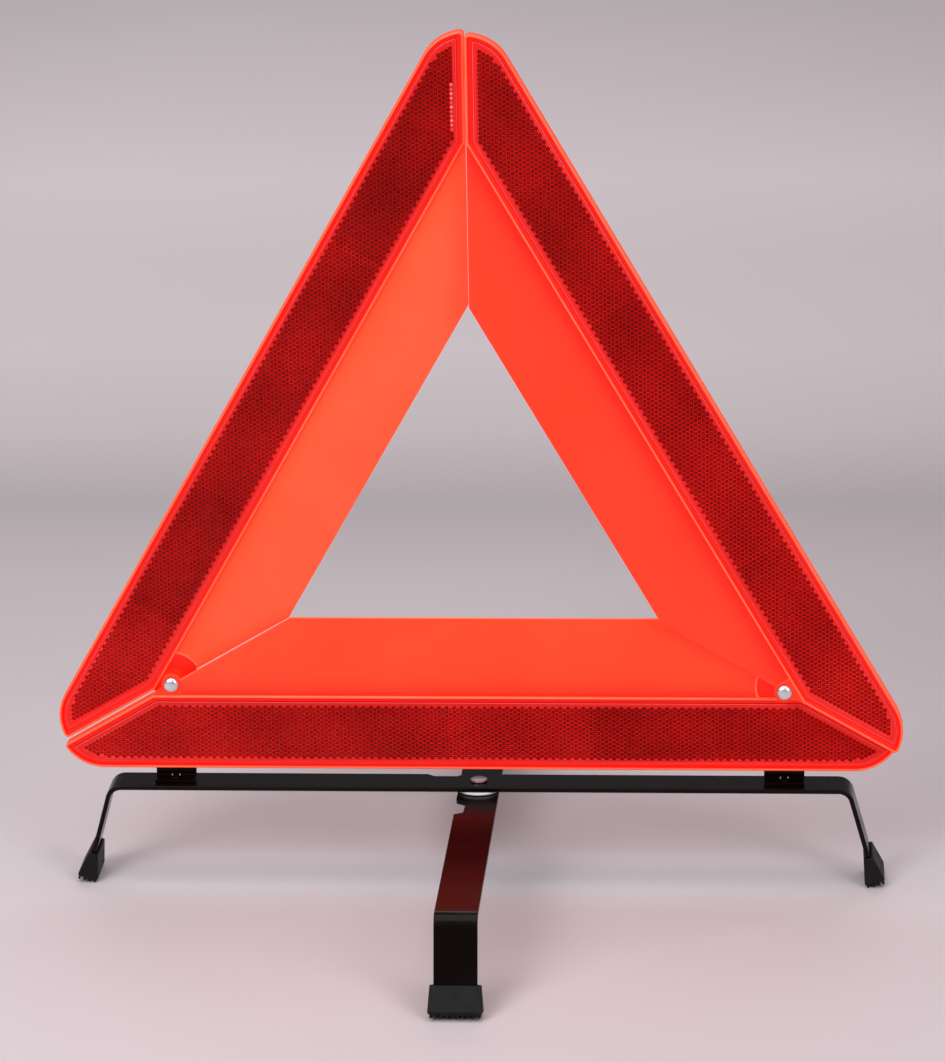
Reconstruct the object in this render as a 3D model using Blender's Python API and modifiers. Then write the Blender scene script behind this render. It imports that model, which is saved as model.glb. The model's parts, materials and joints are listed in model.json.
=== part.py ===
"""Folding road warning triangle on a crossed steel stand.

Three moulded arms make an equilateral triangle. The base arm stands on two steel brackets on the
lateral bar. The side arms turn on one rivet each at the lower corners, the left one behind the base
arm and the right one in front of it. The crossing bar turns under the lateral bar on the centre rivet.

Units are metres. X is across, Y is depth with the front at -Y, and Z is up from the ground. An arm is
drawn flat, lying as the base arm does, in its own x (along), z (out from its long edge) and depth
(0 at its front face, growing backwards).
"""

import math

import bmesh
import bpy
from mathutils import Matrix, Vector

COLLECTION_NAME = "warning_triangle"
CLEARANCE = 0.0003
CUT_PAST = 0.002
FINE_STEPS = 40
BORE_STEPS = 32
HOLE_STEPS = 28
SCREW_STEPS = 20
EDGE_ANGLE = math.radians(40)

# Triangle
SIDE = 0.500
BAND = 0.086
CORNER_RADIUS = 0.026
ARM_THICKNESS = 0.008
ARM_EDGE_ROUND = 0.0008
MITRE_GAP = 0.0005
HINGE_REACH = 0.083

# Depth layout of an arm, measured back from its front face
PANEL_FRONT = 0.0016
PANEL_BACK = 0.0040
GROOVE_FLOOR = 0.0022
LENS_FRONT = 0.0012
LENS_BACK = 0.0038
RECESS_DEPTH = 0.0008

# Tray layout of an arm, measured in from its long outer edge
TRAY_WIDTH = 0.04185
LIP = 0.0015
LENS_EDGE = 0.0034
LENS_TOP = 0.0381
LENS_END = 0.0050
LENS_EDGE_ROUND = 0.0003
LEDGE = 0.0022
RIB_THICKNESS = 0.0012
RIB_DEPTH = 0.0025
RIB_SPACING = 0.050
RIB_COUNT = 4

# Corner joints
LAYER = 0.009
APEX_CLEARANCE = 0.0005
APEX_HEIGHT = 0.425
LUG_RADIUS = 0.0055
LUG_PROUD = 0.0004
RECESS_RADIUS = 0.0150
PIN_RADIUS = 0.0020
PIN_HEAD_RADIUS = 0.0041
PIN_HEAD_HEIGHT = 0.0015
PIN_TAIL_RADIUS = 0.0034
PIN_TAIL_HEIGHT = 0.0014
CORNER_WASHER_RADIUS = 0.0046
CORNER_WASHER_THICKNESS = 0.0008

# Tongue that joins the side arms behind the apex
TONGUE_REACH = 0.012
TONGUE_WIDTH = 0.012
TONGUE_THICKNESS = 0.0016
TONGUE_SETBACK = 0.0002
TONGUE_EDGE_DISTANCE = 0.022
TONGUE_ROOT = 0.00105

# Stand
STRIP_WIDTH = 0.0226
STRIP_THICKNESS = 0.0025
STRIP_EDGE_ROUND = 0.0005
BEND_RADIUS = 0.0088
SPLAY = math.radians(15.6)
BAR_TOP = 0.0560
ARM_GAP = 0.0088
ARM_FRONT_Y = -0.0061
LATERAL_HALF = 0.2052
CROSSING_HALF = 0.1899
LATERAL_NOTCH_DEPTH = 0.0042
LATERAL_NOTCH = (-0.0300, -0.0275, -0.0250, -0.0125, -0.0100, -0.0080)
CROSSING_NOTCH_DEPTH = 0.0056
CROSSING_NOTCH = (-0.0410, -0.0405, -0.0375, -0.0195, -0.0190, -0.0172, -0.0165)
NOTCH_CORNER = 0.0010
NOTCH_CUTTER = 0.02
PIVOT_WASHER_RADIUS = 0.0126
PIVOT_WASHER_THICKNESS = 0.0013
PIVOT_RADIUS = 0.0026
PIVOT_HEAD_RADIUS = 0.0048
PIVOT_HEAD_HEIGHT = 0.0020
PIVOT_TAIL_RADIUS = 0.0042
PIVOT_TAIL_HEIGHT = 0.0014
LOWER_WASHER_RADIUS = 0.0062
LOWER_WASHER_THICKNESS = 0.0010

# Brackets
BRACKET_WIDTH = 0.022
BRACKET_THICKNESS = 0.0015
BRACKET_RISE = 0.0085
BRACKET_BEND = 0.0022
BRACKET_RIVET_Y = -0.0018
BRACKET_RIVET_RADIUS = 0.0016
BRACKET_HEAD_RADIUS = 0.0029
BRACKET_TAIL_RADIUS = 0.00261
BRACKET_HEAD_HEIGHT = 0.0013
BRACKET_TAIL_HEIGHT = 0.0011
SCREW_SPREAD = 0.0062
SCREW_RISE = 0.0048
SCREW_RADIUS = 0.0012
SCREW_HEAD_RADIUS = 0.0022
SCREW_HEAD_HEIGHT = 0.0012
SCREW_LENGTH = 0.0030
BLOCK_HEIGHT = 0.0098
BLOCK_MARGIN = 0.001

# Rubber feet, along the leg from the sole up
FOOT_HEIGHT = 0.0165
FOOT_TOP = (0.0052, 0.0264)
FOOT_BULGE = (0.0112, 0.0284)
FOOT_BULGE_HEIGHT = 0.0030
FOOT_SOLE = (0.0104, 0.0266)
FOOT_SOCKET_DEPTH = 0.0120
FOOT_GROUND_CUT = 0.0006

TAN30 = math.tan(math.radians(30))
CENTROID = SIDE * TAN30 / 2
HINGE_X = SIDE / 2 - HINGE_REACH
HINGE_RISE = HINGE_REACH * TAN30
ARM_BOTTOM = BAR_TOP + ARM_GAP
LEAN = math.atan(
    (2 * LAYER - ARM_THICKNESS - APEX_CLEARANCE) / (2 * (APEX_HEIGHT - HINGE_RISE))
)
LUG_BACK = LAYER + PANEL_FRONT + RECESS_DEPTH - CLEARANCE
LUG_PLATE_BACK = PANEL_BACK + CLEARANCE
CROSSING_TOP = BAR_TOP - STRIP_THICKNESS - PIVOT_WASHER_THICKNESS - 2 * CLEARANCE


def clear_scene():
    for obj in list(bpy.data.objects):
        bpy.data.objects.remove(obj, do_unlink=True)


def new_collection(name):
    collection = bpy.data.collections.new(name)
    bpy.context.scene.collection.children.link(collection)
    return collection


def make_material(name, colour, roughness, metallic=0.0):
    material = bpy.data.materials.new(name)
    material.use_nodes = True
    shader = material.node_tree.nodes["Principled BSDF"]
    shader.inputs["Base Color"].default_value = (*colour, 1.0)
    shader.inputs["Roughness"].default_value = roughness
    shader.inputs["Metallic"].default_value = metallic
    return material


clear_scene()
PARTS = new_collection(COLLECTION_NAME)
CUTTERS = new_collection("cutters")
FLUORESCENT = make_material("fluorescent_orange", (1.0, 0.10, 0.03), 0.35)
RED_LENS = make_material("red_lens", (0.45, 0.01, 0.01), 0.12)
BLACK_PAINT = make_material("black_paint", (0.02, 0.018, 0.018), 0.30)
BLACK_RUBBER = make_material("black_rubber", (0.03, 0.03, 0.03), 0.75)
ZINC = make_material("zinc_plate", (0.62, 0.62, 0.64), 0.28, 1.0)
WHITE_NYLON = make_material("white_nylon", (0.85, 0.85, 0.86), 0.45)


def add_part(name, mesh, material, matrix=None):
    obj = bpy.data.objects.new(name, mesh)
    obj.data.materials.clear()
    obj.data.materials.append(material)
    PARTS.objects.link(obj)
    if matrix is not None:
        obj.matrix_world = matrix
    return obj


def add_cutter(name, mesh, matrix=None):
    obj = bpy.data.objects.new(name, mesh)
    obj.hide_render = True
    obj.display_type = "WIRE"
    CUTTERS.objects.link(obj)
    if matrix is not None:
        obj.matrix_world = matrix
    return obj


def combine(obj, tool, operation):
    modifier = obj.modifiers.new(f"{operation.lower()} {tool.name}", "BOOLEAN")
    modifier.operation = operation
    modifier.solver = "EXACT"
    modifier.object = tool
    tool.parent = obj


def flat_mesh(name, loops, thickness, edge_round=0.0):
    """A plate from flat outlines in XY, thick along Z. The first loop is its edge, the rest are holes."""
    curve = bpy.data.curves.new(name, "CURVE")
    curve.dimensions = "2D"
    curve.fill_mode = "BOTH"
    curve.extrude = thickness / 2 - edge_round
    if edge_round:
        curve.bevel_depth = edge_round
        curve.bevel_resolution = 1
        curve.offset = -edge_round
    for loop in loops:
        spline = curve.splines.new("POLY")
        spline.points.add(len(loop) - 1)
        for point, (u, v) in zip(spline.points, loop):
            point.co = (u, v, 0.0, 1.0)
        spline.use_cyclic_u = True
    holder = bpy.data.objects.new(name, curve)
    bpy.context.scene.collection.objects.link(holder)
    bpy.context.view_layer.update()
    graph = bpy.context.evaluated_depsgraph_get()
    mesh = bpy.data.meshes.new_from_object(holder.evaluated_get(graph))
    bpy.data.objects.remove(holder)
    bpy.data.curves.remove(curve)
    bm = bmesh.new()
    bm.from_mesh(mesh)
    bmesh.ops.remove_doubles(bm, verts=bm.verts, dist=1e-6)
    bmesh.ops.recalc_face_normals(bm, faces=bm.faces)
    if len(loops) == 1:
        bmesh.ops.dissolve_limit(bm, angle_limit=0.001, verts=bm.verts, edges=bm.edges)
    bm.to_mesh(mesh)
    bm.free()
    mesh.name = name
    return mesh


def round_edges(obj, width, segments=2):
    modifier = obj.modifiers.new("rounded edges", "BEVEL")
    modifier.width = width
    modifier.segments = segments
    modifier.limit_method = "ANGLE"
    modifier.angle_limit = EDGE_ANGLE


def upright_mesh(name, loops, front, back, edge_round=0.0):
    """A plate whose outline stands in XZ and whose depth along Y runs from front to back."""
    mesh = flat_mesh(name, loops, back - front, edge_round)
    mesh.transform(Matrix.Translation((0, (front + back) / 2, 0)) @ Matrix.Rotation(math.pi / 2, 4, "X"))
    return mesh


def box_mesh(name, low, high):
    bm = bmesh.new()
    bmesh.ops.create_cube(bm, size=1.0)
    size = Vector(high) - Vector(low)
    middle = (Vector(high) + Vector(low)) / 2
    bmesh.ops.scale(bm, vec=size, verts=bm.verts)
    bmesh.ops.translate(bm, vec=middle, verts=bm.verts)
    mesh = bpy.data.meshes.new(name)
    bm.to_mesh(mesh)
    bm.free()
    return mesh


def rod_mesh(name, radius, start, end, centre=(0.0, 0.0), axis="Y", segments=FINE_STEPS):
    """A plain cylinder from start to end along Y or Z."""
    bm = bmesh.new()
    bmesh.ops.create_cone(
        bm, cap_ends=True, segments=segments, radius1=radius, radius2=radius, depth=end - start
    )
    middle = (start + end) / 2
    if axis == "Y":
        bmesh.ops.rotate(bm, matrix=Matrix.Rotation(math.pi / 2, 3, "X"), verts=bm.verts)
        bmesh.ops.translate(bm, vec=(centre[0], middle, centre[1]), verts=bm.verts)
    else:
        bmesh.ops.translate(bm, vec=(centre[0], centre[1], middle), verts=bm.verts)
    mesh = bpy.data.meshes.new(name)
    bm.to_mesh(mesh)
    bm.free()
    return mesh


def arc(centre, radius, start, end, steps):
    """Points on an arc between two angles in degrees."""
    angles = [math.radians(start + (end - start) * i / steps) for i in range(steps + 1)]
    return [(centre[0] + radius * math.cos(a), centre[1] + radius * math.sin(a)) for a in angles]


def band_outline(edge_inset, top, end_inset, steps=8):
    """Outline of an arm lying along the base: long edge low, mitred ends, rounded lower corners."""
    radius = CORNER_RADIUS - edge_inset
    centre_x = SIDE / 2 - CORNER_RADIUS / TAN30
    turn = 30 - math.degrees(math.asin(end_inset / radius))
    tip_angle = turn - 90 + 30
    right_arc = arc((centre_x, CORNER_RADIUS), radius, -90, tip_angle, steps)
    top_x = SIDE / 2 - top / TAN30 - 2 * end_inset
    right = right_arc + [(top_x, top)]
    left = [(-x, z) for x, z in reversed(right)]
    return right + left


def turned(name, profile, material, closed=False, steps=FINE_STEPS):
    """A turned piece about local Z from (radius, height) points, top to bottom on the outer side."""
    mesh = bpy.data.meshes.new(name)
    points = [(r, 0.0, h) for r, h in profile]
    edges = [(i, i + 1) for i in range(len(points) - 1)]
    if closed:
        edges.append((len(points) - 1, 0))
    mesh.from_pydata(points, edges, [])
    obj = add_part(name, mesh, material)
    screw = obj.modifiers.new("turn", "SCREW")
    screw.angle = 2 * math.pi
    screw.steps = steps
    screw.render_steps = steps
    screw.use_merge_vertices = True
    screw.merge_threshold = 0.00001
    screw.use_smooth_shade = True
    return obj


def rivet_profile(head_radius, head_height, radius, length, tail_radius, tail_height):
    """Domed head above height 0, shank down to -length, and a flatter domed tail below it."""
    head = [
        (head_radius * math.sin(math.radians(a)), head_height * math.cos(math.radians(a)))
        for a in range(0, 91, 15)
    ]
    tail = [
        (tail_radius * math.cos(math.radians(a)), -length - tail_height * math.sin(math.radians(a)))
        for a in range(0, 91, 18)
    ]
    head[0] = (0.0, head_height)
    head[-1] = (head_radius, 0.0)
    tail[-1] = (0.0, -length - tail_height)
    return head + [(radius, 0.0), (radius, -length)] + tail


def washer_profile(inner, outer, thickness):
    half = thickness / 2
    return [(outer, half), (outer, -half), (inner, -half), (inner, half)]


def hinge_matrix(side):
    """Frame on a lower corner rivet's axis: side -1 is the left joint and +1 the right one."""
    place = Matrix.Translation((side * HINGE_X, ARM_FRONT_Y, ARM_BOTTOM + HINGE_RISE))
    return place @ Matrix.Rotation(-side * LEAN, 4, "X")


def side_arm_matrix(side):
    """Places a flat arm as the left (-1) or right (+1) side of the triangle, in its own layer."""
    about = Matrix.Translation((0, 0, CENTROID))
    turn = about @ Matrix.Rotation(-side * math.radians(120), 4, "Y") @ about.inverted()
    to_hinge = Matrix.Translation((-side * HINGE_X, -side * LAYER, -HINGE_RISE))
    return hinge_matrix(side) @ to_hinge @ turn


BASE_MATRIX = Matrix.Translation((0, ARM_FRONT_Y, ARM_BOTTOM))


def arm_frame(name, matrix, lug, recess, tongue):
    """One moulding: reflector tray with a stepped lip, and the thin fluorescent panel beside it."""
    outline = band_outline(0.0, BAND, MITRE_GAP)
    frame = add_part(name, upright_mesh(name, [outline], 0.0, ARM_THICKNESS), FLUORESCENT)
    round_edges(frame, ARM_EDGE_ROUND)
    past = CUT_PAST
    wall = TRAY_WIDTH - LENS_TOP - CLEARANCE
    lens_hole = band_outline(LENS_EDGE - CLEARANCE, LENS_TOP + CLEARANCE, LENS_END - CLEARANCE)
    groove = band_outline(LIP, TRAY_WIDTH - LIP, LIP + MITRE_GAP)
    window = band_outline(LENS_EDGE + LEDGE, LENS_TOP - LEDGE, LENS_END + LEDGE)
    cuts = (
        ("groove", upright_mesh("groove", [groove], -past, GROOVE_FLOOR)),
        ("lens_seat", upright_mesh("lens_seat", [lens_hole], -past, LENS_BACK + CLEARANCE)),
        ("window", upright_mesh("window", [window], -past, ARM_THICKNESS + past)),
        (
            "panel_face",
            box_mesh("panel_face", (-SIDE / 2, -past, TRAY_WIDTH), (SIDE / 2, PANEL_FRONT, BAND + past)),
        ),
        (
            "panel_hollow",
            box_mesh(
                "panel_hollow",
                (-SIDE / 2, PANEL_BACK, TRAY_WIDTH),
                (SIDE / 2, ARM_THICKNESS + past, BAND + past),
            ),
        ),
    )
    for label, mesh in cuts:
        combine(frame, add_cutter(f"{name}_{label}", mesh), "DIFFERENCE")
    add_ribs(frame, name, wall)
    if recess:
        add_recess(frame, name)
    if lug:
        add_lug(frame, name)
    if tongue:
        add_tongue(frame, name)
    frame.matrix_world = matrix
    return frame


def add_ribs(frame, name, wall):
    """Stiffening ribs behind the panel, from the tray wall nearly to the panel's free edge."""
    first = -RIB_SPACING * (RIB_COUNT - 1) / 2
    for i in range(RIB_COUNT):
        x = first + i * RIB_SPACING
        low = (x - RIB_THICKNESS / 2, PANEL_BACK - CLEARANCE, TRAY_WIDTH - wall / 2)
        high = (x + RIB_THICKNESS / 2, PANEL_BACK + RIB_DEPTH, BAND - wall)
        rib = add_cutter(f"{name}_rib_{i + 1}", box_mesh("rib", low, high))
        combine(frame, rib, "UNION")


def add_recess(frame, name):
    """Round plate behind the next arm's lug, the step in the panel in front of it, and its rivet hole."""
    centre = (HINGE_X, HINGE_RISE)
    plate = rod_mesh("plate", LUG_RADIUS, PANEL_FRONT + CLEARANCE, LUG_PLATE_BACK, centre)
    combine(frame, add_cutter(f"{name}_rear_lug", plate), "UNION")
    rise = math.degrees(math.asin((TRAY_WIDTH + CLEARANCE - HINGE_RISE) / RECESS_RADIUS))
    outline = arc(centre, RECESS_RADIUS, rise, 180 - rise, HOLE_STEPS)
    step = upright_mesh("recess", [outline], -CUT_PAST, PANEL_FRONT + RECESS_DEPTH)
    combine(frame, add_cutter(f"{name}_recess", step), "DIFFERENCE")
    hole = rod_mesh("hole", PIN_RADIUS + CLEARANCE, -CUT_PAST, ARM_THICKNESS, centre, segments=BORE_STEPS)
    combine(frame, add_cutter(f"{name}_recess_hole", hole), "DIFFERENCE")


def add_lug(frame, name):
    """Round lug with a boss that reaches back to the next arm's panel, and its rivet hole."""
    centre = (-HINGE_X, HINGE_RISE)
    boss = rod_mesh("boss", LUG_RADIUS, PANEL_FRONT - LUG_PROUD, LUG_BACK, centre)
    combine(frame, add_cutter(f"{name}_lug", boss), "UNION")
    hole = rod_mesh("hole", PIN_RADIUS + CLEARANCE, -CUT_PAST, LUG_BACK + CUT_PAST, centre, segments=BORE_STEPS)
    combine(frame, add_cutter(f"{name}_lug_hole", hole), "DIFFERENCE")


def add_tongue(frame, name):
    """Flat tongue past the apex end of the left arm, which the right arm closes in front of."""
    root = (-SIDE / 2 + TONGUE_EDGE_DISTANCE / TAN30, 0.0, TONGUE_EDGE_DISTANCE)
    place = Matrix.Translation(root) @ Matrix.Rotation(-math.radians(30), 4, "Y")
    low = (-TONGUE_WIDTH / 2, TONGUE_SETBACK, -TONGUE_ROOT - MITRE_GAP)
    high = (TONGUE_WIDTH / 2, TONGUE_SETBACK + TONGUE_THICKNESS, TONGUE_REACH)
    combine(frame, add_cutter(f"{name}_tongue", box_mesh("tongue", low, high), place), "UNION")


def add_screw_blocks(frame):
    """Solid blocks behind the base lens's lower edge, which take the bracket screws."""
    for side, label in ((-1, "left"), (1, "right")):
        middle = side * HINGE_X
        reach = BRACKET_WIDTH / 2 + BLOCK_MARGIN
        low = (middle - reach, LENS_BACK + CLEARANCE, LIP)
        high = (middle + reach, ARM_THICKNESS - CLEARANCE, BLOCK_HEIGHT)
        combine(frame, add_cutter(f"screw_block_{label}", box_mesh("block", low, high)), "UNION")
        for offset, place in ((-SCREW_SPREAD, "a"), (SCREW_SPREAD, "b")):
            hole = rod_mesh(
                "screw_hole",
                SCREW_RADIUS + CLEARANCE,
                ARM_THICKNESS - SCREW_LENGTH - CLEARANCE,
                ARM_THICKNESS + CUT_PAST,
                (middle + offset, SCREW_RISE),
                segments=SCREW_STEPS,
            )
            combine(frame, add_cutter(f"screw_hole_{label}_{place}", hole), "DIFFERENCE")


def reflector(name, matrix):
    outline = band_outline(LENS_EDGE, LENS_TOP, LENS_END)
    mesh = upright_mesh(name, [outline], LENS_FRONT, LENS_BACK, LENS_EDGE_ROUND)
    return add_part(name, mesh, RED_LENS, matrix)


def corner_joint(side, label):
    """Rivet and back washer of a lower corner. The front of the pair of arms carries the lug."""
    front = 0.0 if side < 0 else -LAYER
    head_seat = front + PANEL_FRONT - LUG_PROUD - CLEARANCE
    plate_back = front + LAYER + LUG_PLATE_BACK
    length = plate_back + CORNER_WASHER_THICKNESS + 2 * CLEARANCE - head_seat
    profile = rivet_profile(
        PIN_HEAD_RADIUS, PIN_HEAD_HEIGHT, PIN_RADIUS, length, PIN_TAIL_RADIUS, PIN_TAIL_HEIGHT
    )
    to_front = hinge_matrix(side) @ Matrix.Rotation(math.pi / 2, 4, "X")
    rivet = turned(f"{label}_corner_rivet", profile, ZINC)
    rivet.matrix_world = to_front @ Matrix.Translation((0, 0, -head_seat))
    washer = turned(
        f"{label}_corner_washer",
        washer_profile(PIN_RADIUS + CLEARANCE, CORNER_WASHER_RADIUS, CORNER_WASHER_THICKNESS),
        ZINC,
        closed=True,
    )
    middle = plate_back + CLEARANCE + CORNER_WASHER_THICKNESS / 2
    washer.matrix_world = to_front @ Matrix.Translation((0, 0, -middle))


def strip_outline(half_length, top):
    """Side view of a flat bar bent down into two splayed legs."""
    inner = BEND_RADIUS - STRIP_THICKNESS
    bend_x = half_length - BEND_RADIUS
    bend_z = top - BEND_RADIUS
    splay = math.degrees(SPLAY)
    outer_arc = arc((bend_x, bend_z), BEND_RADIUS, 90, splay, 6)
    inner_arc = arc((bend_x, bend_z), inner, splay, 90, 6)
    end_z = FOOT_HEIGHT - FOOT_SOCKET_DEPTH + CLEARANCE
    reach = (bend_z - end_z) / math.cos(SPLAY)
    along = (reach * math.sin(SPLAY), -reach * math.cos(SPLAY))
    outer_end = (outer_arc[-1][0] + along[0], outer_arc[-1][1] + along[1])
    inner_end = (inner_arc[0][0] + along[0], inner_arc[0][1] + along[1])
    right = outer_arc + [outer_end, inner_end] + inner_arc
    left = [(-x, z) for x, z in reversed(right)]
    return right + left


def notch_cutter(name, points):
    mesh = flat_mesh(name, [points], NOTCH_CUTTER)
    mesh.transform(Matrix.Translation((0, 0, BAR_TOP - STRIP_THICKNESS)))
    return add_cutter(name, mesh)


def lateral_bar():
    half = STRIP_WIDTH / 2
    mesh = upright_mesh(
        "lateral_bar", [strip_outline(LATERAL_HALF, BAR_TOP)], -half, half, STRIP_EDGE_ROUND
    )
    bar = add_part("lateral_bar", mesh, BLACK_PAINT)
    depth = half - LATERAL_NOTCH_DEPTH
    edge = half + CUT_PAST
    levels = (edge, half - NOTCH_CORNER, depth, depth, half - NOTCH_CORNER, edge)
    notch = list(zip(LATERAL_NOTCH, levels))
    combine(bar, notch_cutter("lateral_notch", notch), "DIFFERENCE")
    holes = [(0.0, 0.0, PIVOT_RADIUS)]
    holes += [(side * HINGE_X, BRACKET_RIVET_Y, BRACKET_RIVET_RADIUS) for side in (-1, 1)]
    low = BAR_TOP - STRIP_THICKNESS - CUT_PAST
    for i, (x, y, radius) in enumerate(holes):
        hole = rod_mesh("hole", radius + CLEARANCE, low, BAR_TOP + CUT_PAST, (x, y), "Z", HOLE_STEPS)
        combine(bar, add_cutter(f"lateral_hole_{i + 1}", hole), "DIFFERENCE")
    return bar


def crossing_bar():
    """Drawn along X with its front leg at -X, then turned so that the front leg points to -Y."""
    half = STRIP_WIDTH / 2
    mesh = upright_mesh(
        "crossing_bar", [strip_outline(CROSSING_HALF, CROSSING_TOP)], -half, half, STRIP_EDGE_ROUND
    )
    bar = add_part("crossing_bar", mesh, BLACK_PAINT)
    depth = half - CROSSING_NOTCH_DEPTH
    edge = half + CUT_PAST
    levels = (edge, half, depth, depth, half - 2 * NOTCH_CORNER, half, edge)
    notch = [(x, -y) for x, y in zip(CROSSING_NOTCH, levels)]
    combine(bar, notch_cutter("crossing_notch", notch), "DIFFERENCE")
    low = CROSSING_TOP - STRIP_THICKNESS - CUT_PAST
    high = CROSSING_TOP + CUT_PAST
    hole = rod_mesh("hole", PIVOT_RADIUS + CLEARANCE, low, high, (0, 0), "Z", HOLE_STEPS)
    combine(bar, add_cutter("crossing_hole", hole), "DIFFERENCE")
    bar.rotation_euler = (0, 0, math.pi / 2)
    return bar


def centre_joint():
    """Rivet through both bars, the wide friction washer between them and the washer under its tail."""
    seat = BAR_TOP + CLEARANCE
    under = CROSSING_TOP - STRIP_THICKNESS
    length = seat - under + LOWER_WASHER_THICKNESS + 2 * CLEARANCE
    profile = rivet_profile(
        PIVOT_HEAD_RADIUS, PIVOT_HEAD_HEIGHT, PIVOT_RADIUS, length, PIVOT_TAIL_RADIUS, PIVOT_TAIL_HEIGHT
    )
    turned("centre_rivet", profile, ZINC).location.z = seat
    bore = PIVOT_RADIUS + CLEARANCE
    friction = turned(
        "friction_washer",
        washer_profile(bore, PIVOT_WASHER_RADIUS, PIVOT_WASHER_THICKNESS),
        WHITE_NYLON,
        closed=True,
        steps=56,
    )
    friction.location.z = CROSSING_TOP + CLEARANCE + PIVOT_WASHER_THICKNESS / 2
    lower = turned(
        "centre_washer",
        washer_profile(bore, LOWER_WASHER_RADIUS, LOWER_WASHER_THICKNESS),
        ZINC,
        closed=True,
    )
    lower.location.z = under - CLEARANCE - LOWER_WASHER_THICKNESS / 2


def bracket_outline():
    """Side view in (y, z): foot on the bar, rounded bend, and the plate behind the base arm."""
    foot_low = BAR_TOP + CLEARANCE
    foot_high = foot_low + BRACKET_THICKNESS
    back = ARM_FRONT_Y + ARM_THICKNESS + CLEARANCE + BRACKET_THICKNESS
    front = ARM_FRONT_Y
    top = ARM_BOTTOM + BRACKET_RISE
    centre = (back - BRACKET_BEND, foot_low + BRACKET_BEND)
    outer = arc(centre, BRACKET_BEND, -90, 0, 5)
    inner = arc(centre, BRACKET_BEND - BRACKET_THICKNESS, 0, -90, 5)
    return [(front, foot_low)] + outer + [(back, top), (back - BRACKET_THICKNESS, top)] + inner + [
        (front, foot_high)
    ]


def bracket(side, label):
    name = f"{label}_bracket"
    mesh = flat_mesh(name, [bracket_outline()], BRACKET_WIDTH)
    mesh.transform(Matrix(((0, 0, 1, 0), (1, 0, 0, 0), (0, 1, 0, 0), (0, 0, 0, 1))))
    plate = add_part(name, mesh, BLACK_PAINT)
    plate.location.x = side * HINGE_X
    bpy.context.view_layer.update()
    foot = rod_mesh(
        "hole",
        BRACKET_RIVET_RADIUS + CLEARANCE,
        BAR_TOP - CUT_PAST,
        BAR_TOP + BRACKET_THICKNESS + CUT_PAST,
        (side * HINGE_X, BRACKET_RIVET_Y),
        "Z",
        24,
    )
    combine(plate, add_cutter(f"{name}_foot_hole", foot), "DIFFERENCE")
    back = ARM_FRONT_Y + ARM_THICKNESS
    for offset, place in ((-SCREW_SPREAD, "a"), (SCREW_SPREAD, "b")):
        centre = (side * HINGE_X + offset, ARM_BOTTOM + SCREW_RISE)
        ends = (back - CUT_PAST / 2, back + BRACKET_THICKNESS + CUT_PAST)
        hole = rod_mesh("hole", SCREW_RADIUS + CLEARANCE, *ends, centre, segments=SCREW_STEPS)
        combine(plate, add_cutter(f"{name}_screw_hole_{place}", hole), "DIFFERENCE")
        bracket_screw(f"{label}_bracket_screw_{place}", centre)
    for tool in [m.object for m in plate.modifiers]:
        tool.matrix_parent_inverse = plate.matrix_world.inverted()
    bracket_rivet(side, label)


def bracket_screw(name, centre):
    """Pan-head screw from behind, through the bracket plate into the base arm's block."""
    seat = ARM_FRONT_Y + ARM_THICKNESS + BRACKET_THICKNESS + 2 * CLEARANCE
    tip = ARM_FRONT_Y + ARM_THICKNESS - SCREW_LENGTH
    radius = SCREW_HEAD_RADIUS
    height = SCREW_HEAD_HEIGHT
    profile = [(0.0, height), (0.6 * radius, height), (0.9 * radius, 0.7 * height), (radius, 0.3 * height)]
    profile += [(radius, 0.0), (SCREW_RADIUS, 0.0), (SCREW_RADIUS, tip - seat), (0.0, tip - seat)]
    screw = turned(name, profile, ZINC, steps=24)
    screw.location = (centre[0], seat, centre[1])
    screw.rotation_euler = (-math.pi / 2, 0, 0)


def bracket_rivet(side, label):
    """Painted rivet that holds the bracket's foot to the lateral bar."""
    seat = BAR_TOP + BRACKET_THICKNESS + 2 * CLEARANCE
    length = seat - BAR_TOP + STRIP_THICKNESS + CLEARANCE
    profile = rivet_profile(
        BRACKET_HEAD_RADIUS,
        BRACKET_HEAD_HEIGHT,
        BRACKET_RIVET_RADIUS,
        length,
        BRACKET_TAIL_RADIUS,
        BRACKET_TAIL_HEIGHT,
    )
    rivet = turned(f"{label}_bracket_rivet", profile, BLACK_PAINT, steps=28)
    rivet.location = (side * HINGE_X, BRACKET_RIVET_Y, seat)


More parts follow.
